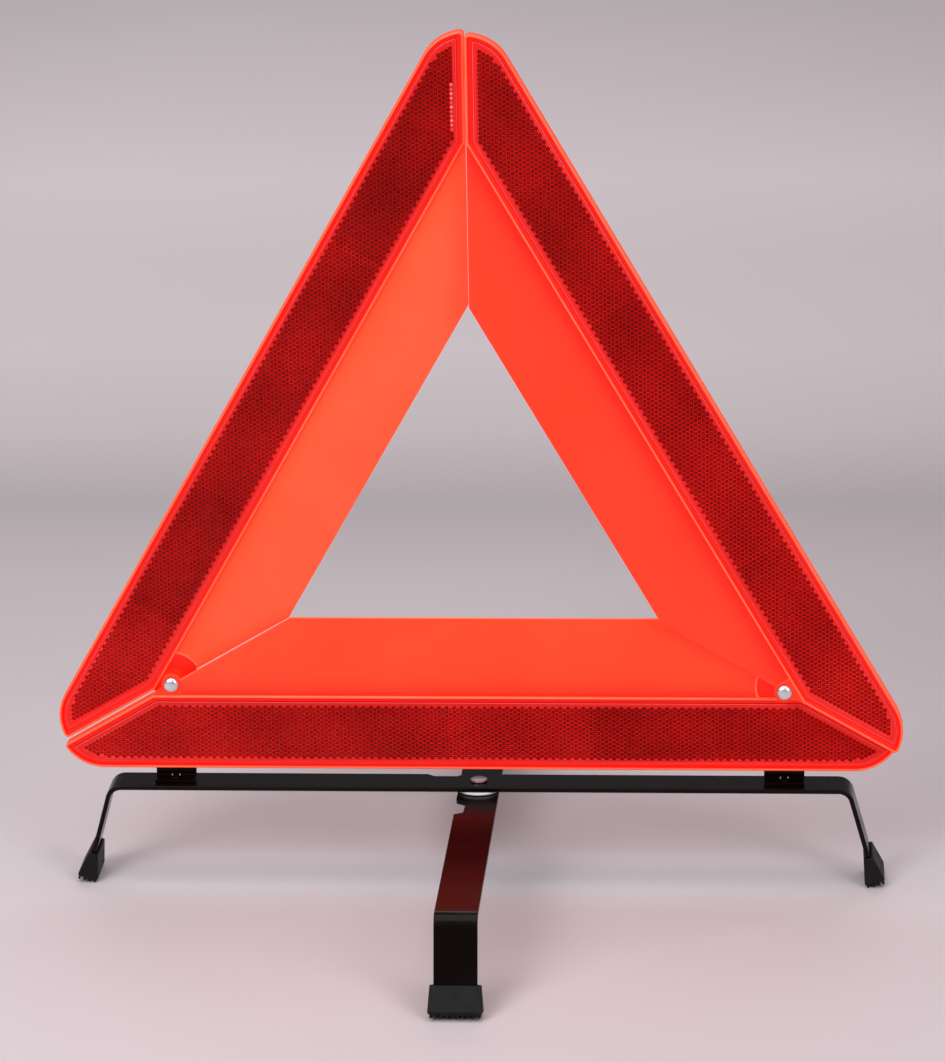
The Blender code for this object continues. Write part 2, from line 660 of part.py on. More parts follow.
def foot_mesh(name, half_length, top):
    """Rubber foot drawn on the +X leg: tapered, with a socket for the strip and a small ground flat."""
    bm = bmesh.new()
    levels = (
        (0.0, FOOT_SOLE),
        (FOOT_BULGE_HEIGHT, FOOT_BULGE),
        (FOOT_HEIGHT, FOOT_TOP),
    )
    for height, (thick, wide) in levels:
        for sx in (-1, 1):
            for sy in (-1, 1):
                bm.verts.new((sx * thick / 2, sy * wide / 2, height))
    bmesh.ops.convex_hull(bm, input=bm.verts)
    bmesh.ops.dissolve_limit(bm, angle_limit=0.01, verts=bm.verts, edges=bm.edges)
    lean = Matrix.Rotation(-SPLAY, 4, "Y")
    inner_sole = lean @ Vector((-FOOT_SOLE[0] / 2, 0, 0))
    rise = -inner_sole.z - FOOT_GROUND_CUT
    bend_x = half_length - BEND_RADIUS
    bend_z = top - BEND_RADIUS
    middle_radius = BEND_RADIUS - STRIP_THICKNESS / 2
    start_x = bend_x + middle_radius * math.cos(SPLAY)
    start_z = bend_z + middle_radius * math.sin(SPLAY)
    centre_x = start_x + (start_z - rise) * math.tan(SPLAY)
    bm.transform(Matrix.Translation((centre_x, 0, rise)) @ lean)
    ground = bm.verts[:] + bm.edges[:] + bm.faces[:]
    bmesh.ops.bisect_plane(bm, geom=ground, plane_co=(0, 0, 0), plane_no=(0, 0, -1), clear_outer=True)
    bmesh.ops.holes_fill(bm, edges=[e for e in bm.edges if e.is_boundary], sides=0)
    bmesh.ops.recalc_face_normals(bm, faces=bm.faces)
    mesh = bpy.data.meshes.new(name)
    bm.to_mesh(mesh)
    bm.free()
    socket = Matrix.Translation((centre_x, 0, rise)) @ lean
    return mesh, socket


def rubber_foot(name, turn, half_length, top):
    """turn is the leg's direction about Z: 0 for the right leg, 180 for the left one."""
    mesh, socket_place = foot_mesh(name, half_length, top)
    around = Matrix.Rotation(math.radians(turn), 4, "Z")
    foot = add_part(name, mesh, BLACK_RUBBER)
    half_thick = STRIP_THICKNESS / 2 + CLEARANCE
    half_wide = STRIP_WIDTH / 2 + CLEARANCE
    low = (-half_thick, -half_wide, FOOT_HEIGHT - FOOT_SOCKET_DEPTH)
    high = (half_thick, half_wide, FOOT_HEIGHT + CUT_PAST)
    socket = add_cutter(f"{name}_socket", box_mesh("socket", low, high), socket_place)
    combine(foot, socket, "DIFFERENCE")
    foot.matrix_world = around


def build():
    base = arm_frame("base_arm", Matrix.Identity(4), lug=True, recess=True, tongue=False)
    add_screw_blocks(base)
    base.matrix_world = BASE_MATRIX
    arm_frame("left_arm", side_arm_matrix(-1), lug=False, recess=True, tongue=True)
    arm_frame("right_arm", side_arm_matrix(1), lug=True, recess=False, tongue=False)
    reflector("base_reflector", BASE_MATRIX)
    reflector("left_reflector", side_arm_matrix(-1))
    reflector("right_reflector", side_arm_matrix(1))
    for side, label in ((-1, "left"), (1, "right")):
        corner_joint(side, label)
        bracket(side, label)
    lateral_bar()
    crossing_bar()
    centre_joint()
    rubber_foot("left_foot", 180, LATERAL_HALF, BAR_TOP)
    rubber_foot("right_foot", 0, LATERAL_HALF, BAR_TOP)
    rubber_foot("front_foot", -90, CROSSING_HALF, CROSSING_TOP)
    rubber_foot("rear_foot", 90, CROSSING_HALF, CROSSING_TOP)


build()
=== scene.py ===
import json
import math
import random

import bmesh
import bpy
from mathutils import Matrix, Vector


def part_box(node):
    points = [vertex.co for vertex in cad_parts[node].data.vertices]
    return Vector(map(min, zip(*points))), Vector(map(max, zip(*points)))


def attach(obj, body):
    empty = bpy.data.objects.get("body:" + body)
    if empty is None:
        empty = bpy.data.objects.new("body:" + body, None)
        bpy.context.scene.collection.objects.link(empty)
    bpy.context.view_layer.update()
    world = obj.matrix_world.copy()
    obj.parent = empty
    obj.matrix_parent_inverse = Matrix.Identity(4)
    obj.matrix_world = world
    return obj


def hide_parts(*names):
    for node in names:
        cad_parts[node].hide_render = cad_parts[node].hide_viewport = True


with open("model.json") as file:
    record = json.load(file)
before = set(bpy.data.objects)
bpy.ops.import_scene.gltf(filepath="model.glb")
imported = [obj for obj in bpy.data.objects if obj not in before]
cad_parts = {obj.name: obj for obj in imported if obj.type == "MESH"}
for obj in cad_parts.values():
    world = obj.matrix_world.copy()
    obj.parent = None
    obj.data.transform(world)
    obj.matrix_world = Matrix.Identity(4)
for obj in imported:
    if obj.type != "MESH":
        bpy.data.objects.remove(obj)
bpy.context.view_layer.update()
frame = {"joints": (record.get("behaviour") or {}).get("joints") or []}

# Sizes are in metres, and arc angles in degrees. An arm is drawn with its long edge along X at z = 0 and
# its front at y = 0, and is then put in its place.

# Arm outline, as in the CAD model
SIDE = 0.500
BAND = 0.086
CORNER_RADIUS = 0.026
LAYER = 0.009
TRAY_WIDTH = 0.04185
LIP = 0.0015
COS30 = math.cos(math.radians(30))
SIN30 = 0.5
TAN30 = math.tan(math.radians(30))
CENTROID = SIDE * TAN30 / 2
MITRE_NORMAL_ANGLE = 60

# Distance of an arm's end from the mitre line
MITRE_GAP = 0.0001
APEX_GAP = 0.0009

# Arm depths, measured back from its front face
ARM_BACK = 0.008
PANEL_FRONT = 0.0016
PANEL_BACK = 0.0040
GROOVE_FLOOR = 0.0022
SEAT_DEPTH = 0.0041
LENS_FRONT = 0.0012
LENS_BACK = 0.0038
RECESS_FLOOR = 0.0024
LUG_FRONT = 0.0007
LUG_BACK = 0.0111

# Tray edges: rounding of its corners, and how much wider the groove is at the top and the ends
LIP_OUTER_ROUND = 0.0009
LIP_INNER_ROUND = 0.00065
TIP_ROUND = 0.0022
TOP_ROUND = 0.0015
LEAST_ROUND = 0.0004
TOP_STRETCH = 0.18
END_STRETCH = 0.30

# Panel, with the recess at its right end and the rivet's pad at its left end
PANEL_ROOT = TRAY_WIDTH - 0.0008
PANEL_FILLET = 0.0012
PANEL_PAST_MITRE = 0.0032
FLOOR_PAST_MITRE = 0.0050
RECESS_RADIUS = 0.015
RECESS_END_ANGLE = 148
LUG_RADIUS = 0.0055
# Painted shade on the panel beside the tray wall: how much darker, and how far it reaches
WALL_SHADE = 0.16
WALL_SHADE_REACH = 0.005
CUT_ROWS = (0.0006, 0.0018, 0.003, 0.005, 0.008, 0.012, 0.018, 0.028)
CUT_PITCH = 0.012
CUTS_A_SIDE = 18

# Reflector
LENS_INSET = 0.0034
PRISM_PITCH = 0.00239
PRISM_EDGE = 0.0050
PRISM_TOP = 0.0360
PRISM_END = 0.0059
PRISM_FRONT = 0.00125
PRISM_DEEP = 0.00205
PRISM_CORE = 0.00045
LOW_CORNER = 0.0002
PRISM_COLUMNS_A_SIDE = 110
PRISM_ROWS = 16
PRISM_BLOCK = 0.078
GLINT_START = 0.0205

# Stand, as in the CAD model
STRIP_WIDTH = 0.0226
STRIP_THICKNESS = 0.0025
BEND_RADIUS = 0.0088
BEND_MIDDLE = BEND_RADIUS - STRIP_THICKNESS / 2
SPLAY = math.radians(15.6)
BEND_TURN = math.pi / 2 - SPLAY
BEND_STEPS = 10
LATERAL_HALF = 0.2052
CROSSING_HALF = 0.1899
LEG_END = 0.0048
STRIP_CORNER = 0.003

# Fixings: clearance, washer thicknesses, and (radius, depth) points of each rivet's upset tail
CLEARANCE = 0.0003
CORNER_WASHER = 0.0008
FRICTION_WASHER = 0.0013
CENTRE_WASHER = 0.0010
CORNER_TAIL = ((0.0033, 0.0), (0.0034, 0.0005), (0.0028, 0.0011), (0.0014, 0.0014), (0.0, 0.0014))
CENTRE_TAIL = ((0.0041, 0.0), (0.0042, 0.0005), (0.0034, 0.0011), (0.0016, 0.0014), (0.0, 0.0014))
BRACKET_TAIL = ((0.0026, 0.0), (0.0024, 0.0007), (0.0013, 0.0011), (0.0, 0.0011))

# Brackets
BRACKET_HALF = 0.011
BRACKET_THICKNESS = 0.0015
BRACKET_BEND = 0.0022
BRACKET_RISE = 0.0085
BRACKET_RIVET_Y = -0.0018
SCREW_OFFSET = 0.0062
SCREW_RISE = 0.0048
DIMPLE_OFFSET = 0.00205
DIMPLE_RISE = 0.0026

# Feet: the sole's thickness and the grip studs, then (thickness, width, corner, height) of each ring
FOOT_HEIGHT = 0.0165
SOLE_THICKNESS = 0.0104
SOLE_SINK = 0.0006
STUD = 0.0017
STUD_ROWS = 4
STUD_COLUMNS = 10
STUD_FIELD = (0.0100, 0.0262)
FOOT_RINGS = (
    (0.0100, 0.0262, 0.0006, STUD),
    (0.0104, 0.0267, 0.0007, STUD + 0.0002),
    (0.0112, 0.0284, 0.0008, 0.0030),
    (0.0111, 0.0283, 0.0008, 0.0034),
    (0.0053, 0.0265, 0.0006, FOOT_HEIGHT - 0.0002),
    (0.0049, 0.0261, 0.0005, FOOT_HEIGHT),
    (0.0034, 0.0235, 0.0004, FOOT_HEIGHT),
    (0.0031, 0.0232, 0.0004, FOOT_HEIGHT - 0.0003),
    (0.0031, 0.0232, 0.0004, FOOT_HEIGHT - 0.0120),
)

# Studio: the floor's brightness at distances behind the object, with painted shade in a soft band and
# towards the right, and how it pales further out with a painted glow
FLOOR_RADIUS = 14.0
PAPER_TINT = (1.0, 0.885, 0.93)
RIGHT_SHADE = (0.88, 0.87, 0.87)
RIGHT_SPAN = (-0.5, 0.35)
PALE_PAPER = (0.96, 0.91, 0.94)
PALE_FLOOR = 0.47
PALE_SPAN = (2.9, 6.0)
PALE_WALL = 0.52
DIM_WALL = 0.16
PAPER_SPAN = (-0.3, 2.8)
PAPER_TONES = (
    (-0.30, 0.645),
    (0.15, 0.62),
    (0.55, 0.535),
    (0.73, 0.455),
    (0.92, 0.60),
    (1.16, 0.69),
    (1.50, 0.72),
    (1.80, 0.80),
    (2.30, 0.79),
    (2.80, 0.83),
)

# Camera
FOCAL_LENGTH_MM = 173.2
SENSOR_MM = 36.0
CAMERA_PLACE = (0.16565, -2.3413, 0.9065)
CAMERA_YAW = math.radians(4.07)
CAMERA_PITCH = math.radians(16.77)
CAMERA_ROLL = math.radians(-1.07)

# Places, from the frame
JOINTS = {joint["name"]: joint for joint in frame["joints"]}
LEFT_HINGE = Vector(JOINTS["left_arm_fold"]["pos_m"])
RIGHT_HINGE = Vector(JOINTS["right_arm_fold"]["pos_m"])
LEAN = math.atan2(JOINTS["left_arm_fold"]["axis"][2], JOINTS["left_arm_fold"]["axis"][1])
ARM_FRONT_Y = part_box("base_arm")[0].y
ARM_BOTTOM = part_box("base_arm")[0].z
HINGE_X = RIGHT_HINGE.x
HINGE_RISE = RIGHT_HINGE.z - ARM_BOTTOM
RECESS_START_ANGLE = 180 + math.degrees(math.asin((HINGE_RISE - PANEL_ROOT) / RECESS_RADIUS))
BAR_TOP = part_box("lateral_bar")[1].z
CROSSING_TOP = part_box("crossing_bar")[1].z


# Materials


def new_material(name):
    material = bpy.data.materials.new(name)
    material.use_nodes = True
    tree = material.node_tree
    return material, tree, tree.nodes["Principled BSDF"]


def noise(tree, scale, detail=2.0, rough=0.5, stretch=None):
    """A noise value in object coordinates, with scale in cycles per metre."""
    coords = tree.nodes.new("ShaderNodeTexCoord")
    texture = tree.nodes.new("ShaderNodeTexNoise")
    texture.inputs["Scale"].default_value = scale
    texture.inputs["Detail"].default_value = detail
    texture.inputs["Roughness"].default_value = rough
    source = coords.outputs["Object"]
    if stretch is not None:
        mapping = tree.nodes.new("ShaderNodeMapping")
        mapping.inputs["Scale"].default_value = stretch
        tree.links.new(source, mapping.inputs["Vector"])
        source = mapping.outputs["Vector"]
    tree.links.new(source, texture.inputs["Vector"])
    return texture.outputs["Fac"]


def ramp(tree, value, *stops):
    """Colours along a value: stops are (position, (r, g, b))."""
    node = tree.nodes.new("ShaderNodeValToRGB")
    elements = node.color_ramp.elements
    while len(elements) < len(stops):
        elements.new(0.5)
    for element, (position, colour) in zip(elements, stops):
        element.position = position
        element.color = (*colour, 1.0)
    tree.links.new(value, node.inputs["Fac"])
    return node.outputs["Color"]


def spread(tree, value, low, high, start=0.3, end=0.7):
    """Maps start to end of a value onto low to high. Noise lies mostly between 0.3 and 0.7."""
    node = tree.nodes.new("ShaderNodeMapRange")
    node.inputs["From Min"].default_value = start
    node.inputs["From Max"].default_value = end
    node.inputs["To Min"].default_value = low
    node.inputs["To Max"].default_value = high
    tree.links.new(value, node.inputs["Value"])
    return node.outputs["Result"]


def mixed(tree, factor, first, second, blend="MIX"):
    """Two colours mixed by a factor. Each can be a constant or a node's output."""
    node = tree.nodes.new("ShaderNodeMix")
    node.data_type = "RGBA"
    node.blend_type = blend
    for socket, source in ((node.inputs[0], factor), (node.inputs[6], first), (node.inputs[7], second)):
        if isinstance(source, (int, float)):
            socket.default_value = source
        elif isinstance(source, tuple):
            socket.default_value = (*source, 1.0)
        else:
            tree.links.new(source, socket)
    return node.outputs[2]


def attribute(tree, name):
    node = tree.nodes.new("ShaderNodeAttribute")
    node.attribute_name = name
    return node.outputs["Fac"]


def set_colour(tree, shader, colour, socket="Base Color"):
    tree.links.new(colour, shader.inputs[socket])


def set_roughness(tree, shader, value, low, high):
    tree.links.new(spread(tree, value, low, high), shader.inputs["Roughness"])


def set_bump(tree, shader, value, distance, strength):
    node = tree.nodes.new("ShaderNodeBump")
    node.inputs["Distance"].default_value = distance
    node.inputs["Strength"].default_value = strength
    tree.links.new(value, node.inputs["Height"])
    tree.links.new(node.outputs["Normal"], shader.inputs["Normal"])


def fluorescent_plastic():
    """Glossy red-orange moulding. A vertex tone paints its light and shade: painted highlights, orange,
    along its thin edges, partly the real edge glow of fluorescent plastic, and painted shade, deep red, in
    its grooves.
    """
    material, tree, shader = new_material("fluorescent_plastic")
    light_and_shade = attribute(tree, "light_and_shade")
    # Base colour from the painted light and shade: deep red where the tone is low, in grooves, and orange
    # where it is high, on edges.
    depth = ramp(
        tree,
        light_and_shade,
        (0.0, (0.52, 0.001, 0.0005)),
        (0.25, (0.56, 0.012, 0.004)),
        (0.5, (0.60, 0.078, 0.022)),
        (1.0, (0.64, 0.165, 0.085)),
    )
    # Emission is a painted glow, oranger on the edges. It stands in for the plastic's fluorescence and for
    # light on its rims.
    light = ramp(
        tree,
        light_and_shade,
        (0.0, (1.0, 0.004, 0.001)),
        (0.5, (1.0, 0.010, 0.002)),
        (0.7, (1.0, 0.022, 0.008)),
        (1.0, (1.0, 0.060, 0.022)),
    )
    cloud = ramp(tree, noise(tree, 16.0, 3.0), (0.3, (0.95, 0.86, 0.80)), (0.7, (1.0, 1.12, 1.2)))
    specks = ramp(tree, noise(tree, 900.0, 1.0), (0.74, (1.0, 1.0, 1.0)), (0.80, (0.8, 0.7, 0.7)))
    tinted = mixed(tree, 1.0, depth, cloud, "MULTIPLY")
    set_colour(tree, shader, mixed(tree, 1.0, tinted, specks, "MULTIPLY"))
    set_colour(tree, shader, light, "Emission Color")
    shader.inputs["Emission Strength"].default_value = 0.52
    shader.inputs["Specular IOR Level"].default_value = 0.3
    set_roughness(tree, shader, noise(tree, 70.0, 5.0, 0.6, (1.0, 1.0, 0.25)), 0.32, 0.42)
    set_bump(tree, shader, noise(tree, 260.0), 0.00002, 0.2)
    return material


def prism_plastic():
    """Clear red reflector painted with light and shade: dark prism flanks as painted shade, bright ridges as
    painted light through the lens, and a painted highlight, a pale line, on each moulded edge.
    """
    material, tree, shader = new_material("prism_plastic")
    cells = ramp(
        tree,
        attribute(tree, "prism_tone"),
        (0.0, (0.080, 0.0015, 0.0015)),
        (0.3, (0.28, 0.006, 0.006)),
        (0.72, (0.90, 0.018, 0.015)),
        (0.82, (0.95, 0.034, 0.030)),
        (0.92, (0.92, 0.14, 0.14)),
        (1.0, (1.0, 0.72, 0.68)),
    )
    cloud = noise(tree, 9.0, 3.0, 0.55, (1.0, 1.0, 0.5))
    drift = ramp(tree, cloud, (0.35, (0.82, 0.74, 0.74)), (0.62, (1.0, 1.0, 1.0)))
    set_colour(tree, shader, mixed(tree, 1.0, cells, drift, "MULTIPLY"))
    # Emission is a painted glow of the same prism tones.
    set_colour(tree, shader, cells, "Emission Color")
    shader.inputs["Emission Strength"].default_value = 0.15
    shader.inputs["Specular IOR Level"].default_value = 0.16
    set_roughness(tree, shader, noise(tree, 120.0), 0.10, 0.20)
    clear = tree.nodes.new("ShaderNodeBsdfTransparent")
    clear.inputs["Color"].default_value = (0.75, 0.010, 0.010, 1.0)
    mix = tree.nodes.new("ShaderNodeMixShader")
    mix.inputs["Fac"].default_value = 0.22
    tree.links.new(shader.outputs["BSDF"], mix.inputs[1])
    tree.links.new(clear.outputs["BSDF"], mix.inputs[2])
    tree.links.new(mix.outputs["Shader"], tree.nodes["Material Output"].inputs["Surface"])
    return material


def black_paint():
    """Glossy black paint with slight orange peel, dust, and a painted highlight, light grey, on the crests
    of the bracket's beads.
    """
    material, tree, shader = new_material("gloss_black_paint")
    cloud = noise(tree, 45.0, 4.0)
    colour = ramp(tree, cloud, (0.3, (0.0034, 0.0012, 0.0013)), (0.7, (0.0050, 0.0022, 0.0023)))
    dust = ramp(tree, noise(tree, 1800.0, 1.0), (0.78, (0.0, 0.0, 0.0)), (0.84, (0.06, 0.06, 0.06)))
    # A light grey painted highlight on the bead crests, from a vertex attribute.
    painted = mixed(tree, attribute(tree, "painted_highlight"), colour, (0.55, 0.52, 0.52))
    set_colour(tree, shader, mixed(tree, 1.0, painted, dust, "ADD"))
    shader.inputs["Specular IOR Level"].default_value = 0.12
    set_roughness(tree, shader, noise(tree, 60.0, 4.0), 0.16, 0.26)
    set_bump(tree, shader, noise(tree, 300.0), 0.00001, 0.2)
    return material


def black_rubber():
    """Matt, finely grained rubber."""
    material, tree, shader = new_material("moulded_rubber")
    cloud = noise(tree, 80.0, 5.0, 0.65)
    set_colour(tree, shader, ramp(tree, cloud, (0.3, (0.0035, 0.003, 0.0035)), (0.7, (0.007, 0.006, 0.007))))
    shader.inputs["Specular IOR Level"].default_value = 0.18
    set_roughness(tree, shader, noise(tree, 200.0, 3.0), 0.42, 0.62)
    set_bump(tree, shader, noise(tree, 1500.0, 3.0), 0.0001, 0.4)
    return material


def zinc_plate(name, roughness, tint):
    """Plated steel, mottled between its tint and a duller one."""
    material, tree, shader = new_material(name)
    dull = tuple(0.88 * value for value in tint)
    set_colour(tree, shader, ramp(tree, noise(tree, 350.0, 3.0), (0.3, dull), (0.7, tint)))
    shader.inputs["Metallic"].default_value = 1.0
    set_roughness(tree, shader, noise(tree, 600.0, 3.0), roughness, roughness + 0.08)
    set_bump(tree, shader, noise(tree, 700.0), 0.00001, 0.2)
    return material


def white_nylon():
    material, tree, shader = new_material("natural_nylon")
    cloud = noise(tree, 150.0, 3.0)
    set_colour(tree, shader, ramp(tree, cloud, (0.3, (0.72, 0.72, 0.74)), (0.7, (0.80, 0.80, 0.82))))
    set_roughness(tree, shader, noise(tree, 300.0), 0.38, 0.5)
    return material


def studio_paper():
    """Pale paper with painted shade, darker in a soft band behind the object and towards the right, and a
    painted glow, paler far out.
    """
    material, tree, shader = new_material("studio_paper")
    coords = tree.nodes.new("ShaderNodeTexCoord")
    split = tree.nodes.new("ShaderNodeSeparateXYZ")
    tree.links.new(coords.outputs["Object"], split.inputs["Vector"])
    paper = ramp(tree, noise(tree, 1.6, 3.0), (0.3, (0.97, 0.97, 0.97)), (0.7, (1.0, 1.0, 1.0)))
    first, last = PAPER_SPAN
    stops = [
        ((y - first) / (last - first), tuple(brightness * tint for tint in PAPER_TINT))
        for y, brightness in PAPER_TONES
    ]
    floor = ramp(tree, spread(tree, split.outputs["Y"], 0.0, 1.0, first, last), *stops)
    right = spread(tree, split.outputs["X"], 0.0, 1.0, *RIGHT_SPAN)
    across = ramp(tree, right, (0.0, (1.0, 1.0, 1.0)), (1.0, RIGHT_SHADE))
    tinted = mixed(tree, 1.0, paper, floor, "MULTIPLY")
    set_colour(tree, shader, mixed(tree, 1.0, tinted, across, "MULTIPLY"))
    shader.inputs["Roughness"].default_value = 0.55
    shader.inputs["Specular IOR Level"].default_value = 0.2
    distance = tree.nodes.new("ShaderNodeVectorMath")
    distance.operation = "LENGTH"
    tree.links.new(coords.outputs["Object"], distance.inputs[0])
    # Painted glow: emission grows with distance, so the floor pales far out.
    far = spread(tree, distance.outputs["Value"], 0.0, PALE_FLOOR, *PALE_SPAN)
    tree.links.new(far, shader.inputs["Emission Strength"])
    shader.inputs["Emission Color"].default_value = (*PALE_PAPER, 1.0)
    return material


ORANGE = fluorescent_plastic()
PRISMS = prism_plastic()
PAINT = black_paint()
RUBBER = black_rubber()
BRIGHT_ZINC = zinc_plate("bright_zinc", 0.30, (0.84, 0.84, 0.86))
DULL_ZINC = zinc_plate("dull_zinc", 0.28, (0.70, 0.70, 0.72))
# Darker, reddish zinc for the centre rivet: a painted reflection of the red triangle above it.
RED_REFLECTING_ZINC = zinc_plate("zinc_with_painted_reflection", 0.34, (0.36, 0.27, 0.27))
NYLON = white_nylon()


# Mesh building


def finish_piece(name, bm, material, body, node, matrix=None, sharp=35.0, flat=True):
    """Makes the object, shades it, gives it its body and material slot, and hides the CAD node it stands in
    for.

    flat keeps the shading of large faces flat beside their rounded edges.
    """
    bmesh.ops.recalc_face_normals(bm, faces=bm.faces)
    if matrix is not None:
        bm.transform(matrix)
    mesh = bpy.data.meshes.new(name)
    bm.to_mesh(mesh)
    bm.free()
    mesh.materials.append(material)
    mesh.shade_smooth()
    mesh.set_sharp_from_angle(angle=math.radians(sharp))
    piece = bpy.data.objects.new(name, mesh)
    bpy.context.scene.collection.objects.link(piece)
    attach(piece, body)
    if flat:
        weighted = piece.modifiers.new("flat_faces", "WEIGHTED_NORMAL")
        weighted.mode = "FACE_AREA"
        weighted.keep_sharp = True
    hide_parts(node)


def arc(centre, radius, start, end, steps):
    """Points on an arc between two angles in degrees."""
    angles = [math.radians(start + (end - start) * i / steps) for i in range(steps + 1)]
    return [(centre[0] + radius * math.cos(a), centre[1] + radius * math.sin(a)) for a in angles]


def tone_layer(bm, name):
    return bm.verts.layers.float.get(name) or bm.verts.layers.float.new(name)


def add_loft(bm, rings, closed=False, caps=False, tones=(), tone_name="light_and_shade"):
    """Quads between rings of equal count. closed joins the last ring to the first."""
    layer = tone_layer(bm, tone_name)
    rows = [[bm.verts.new(point) for point in ring] for ring in rings]
    pairs = list(zip(rows, rows[1:]))
    if closed:
        pairs.append((rows[-1], rows[0]))
    for first, second in pairs:
        for i in range(len(first)):
            j = (i + 1) % len(first)
            bm.faces.new((first[i], first[j], second[j], second[i]))
    if caps:
        bm.faces.new(rows[0])
        bm.faces.new(list(reversed(rows[-1])))
    for row, tone in zip(rows, tones):
        for vert in row:
            vert[layer] = tone
    return rows


def cut_across(bm, place, normal):
    """Cuts every face along a plane, keeping both sides."""
    everything = bm.verts[:] + bm.edges[:] + bm.faces[:]
    bmesh.ops.bisect_plane(bm, geom=everything, plane_co=place, plane_no=normal)


def add_plate(
    bm, outline, front, back, bevel, segments=2, axis="Y", light_and_shade=0.5, edge_highlight=0.8, cuts=(), clamp=True
):
    """A plate with rounded edges. Its outline is in XZ with depth in Y, or in XY with height in Z.

    Its flat faces get a tone of painted light and shade, a number or a function of position, and its rounded
    edges a painted highlight. clamp limits the rounding at short edges.
    """

    def place(point, depth):
        return (point[0], depth, point[1]) if axis == "Y" else (point[0], point[1], depth)

    part = bmesh.new()
    layer = tone_layer(part, "light_and_shade")
    low = [part.verts.new(place(point, front)) for point in outline]
    high = [part.verts.new(place(point, back)) for point in outline]
    part.faces.new(low)
    part.faces.new(list(reversed(high)))
    for i in range(len(outline)):
        j = (i + 1) % len(outline)
        part.faces.new((low[i], high[i], high[j], low[j]))
    rims = [e for e in part.edges if {v in low for v in e.verts} in ({True}, {False})]
    bmesh.ops.bevel(
        part, geom=rims, offset=bevel, segments=segments, profile=0.5, affect="EDGES", clamp_overlap=clamp
    )
    for place_on, normal in cuts:
        cut_across(part, place_on, normal)
    along = 1 if axis == "Y" else 2
    for vert in part.verts:
        if min(abs(vert.co[along] - front), abs(vert.co[along] - back)) < 1e-6:
            vert[layer] = light_and_shade(vert.co) if callable(light_and_shade) else light_and_shade
        else:
            vert[layer] = edge_highlight
    append(bm, part)


def append(bm, part):
    """Adds one bmesh to another, and frees it."""
    holder = bpy.data.meshes.new("part")
    part.to_mesh(holder)
    part.free()
    bm.from_mesh(holder)
    bpy.data.meshes.remove(holder)


def add_turned(bm, profile, segments=48):
    """A solid of revolution about Z from (radius, height) points. A profile off the axis is closed."""
    part = bmesh.new()
    verts = [part.verts.new((r, 0.0, h)) for r, h in profile]
    edges = [part.edges.new(pair) for pair in zip(verts, verts[1:])]
    if profile[0][0] > 0 and profile[-1][0] > 0:
        edges.append(part.edges.new((verts[-1], verts[0])))
    turn = {"cent": (0, 0, 0), "axis": (0, 0, 1), "angle": 2 * math.pi, "steps": segments}
    bmesh.ops.spin(part, geom=verts + edges, use_merge=True, **turn)
    bmesh.ops.remove_doubles(part, verts=part.verts, dist=1e-7)
    append(bm, part)


# Arms


def half_ring(edge, top, end, tip_round, top_round):
    """Right half of the outline of a mitred arm, from the long edge: corner arc, rounded tip, top corner."""
    radius = CORNER_RADIUS - edge
    origin = Vector((SIDE / 2 - CORNER_RADIUS / TAN30, CORNER_RADIUS))
    outward = Vector((COS30, -SIN30))
    inward = Vector((-SIN30, -COS30))
    reach = end + tip_round
    along = math.sqrt((radius - tip_round) ** 2 - reach**2)
    tip = origin + outward * along + inward * reach
    turn = math.degrees(math.atan2(tip.y - origin.y, tip.x - origin.x))
    top_corner = Vector((SIDE / 2 - top / TAN30 - 2 * end, top))
    tangent = top_round * math.tan(math.radians((90 - MITRE_NORMAL_ANGLE) / 2))
    top_centre = top_corner - Vector((-COS30, SIN30)) * tangent + inward * top_round
    points = arc(origin, radius, -90, turn, 14)
    points += arc(tip, tip_round, turn, MITRE_NORMAL_ANGLE, 6)[1:]
    return points + arc(top_centre, top_round, MITRE_NORMAL_ANGLE, 90, 3)


def tray_ring(inset, depth, gap):
    """The arm's tray outline moved in by inset on all sides, at a depth. gap is at its left end."""
    past_lip = max(0.0, inset - LIP)
    top = TRAY_WIDTH - inset - TOP_STRETCH * past_lip
    rounds = max(TIP_ROUND - inset, LEAST_ROUND), max(TOP_ROUND - inset, LEAST_ROUND)
    right = half_ring(inset, top, MITRE_GAP + inset + END_STRETCH * past_lip, *rounds)
    left = half_ring(inset, top, gap + inset + END_STRETCH * past_lip, *rounds)
    points = right + [(-x, z) for x, z in reversed(left)]
    return [(x, depth, z) for x, z in points]


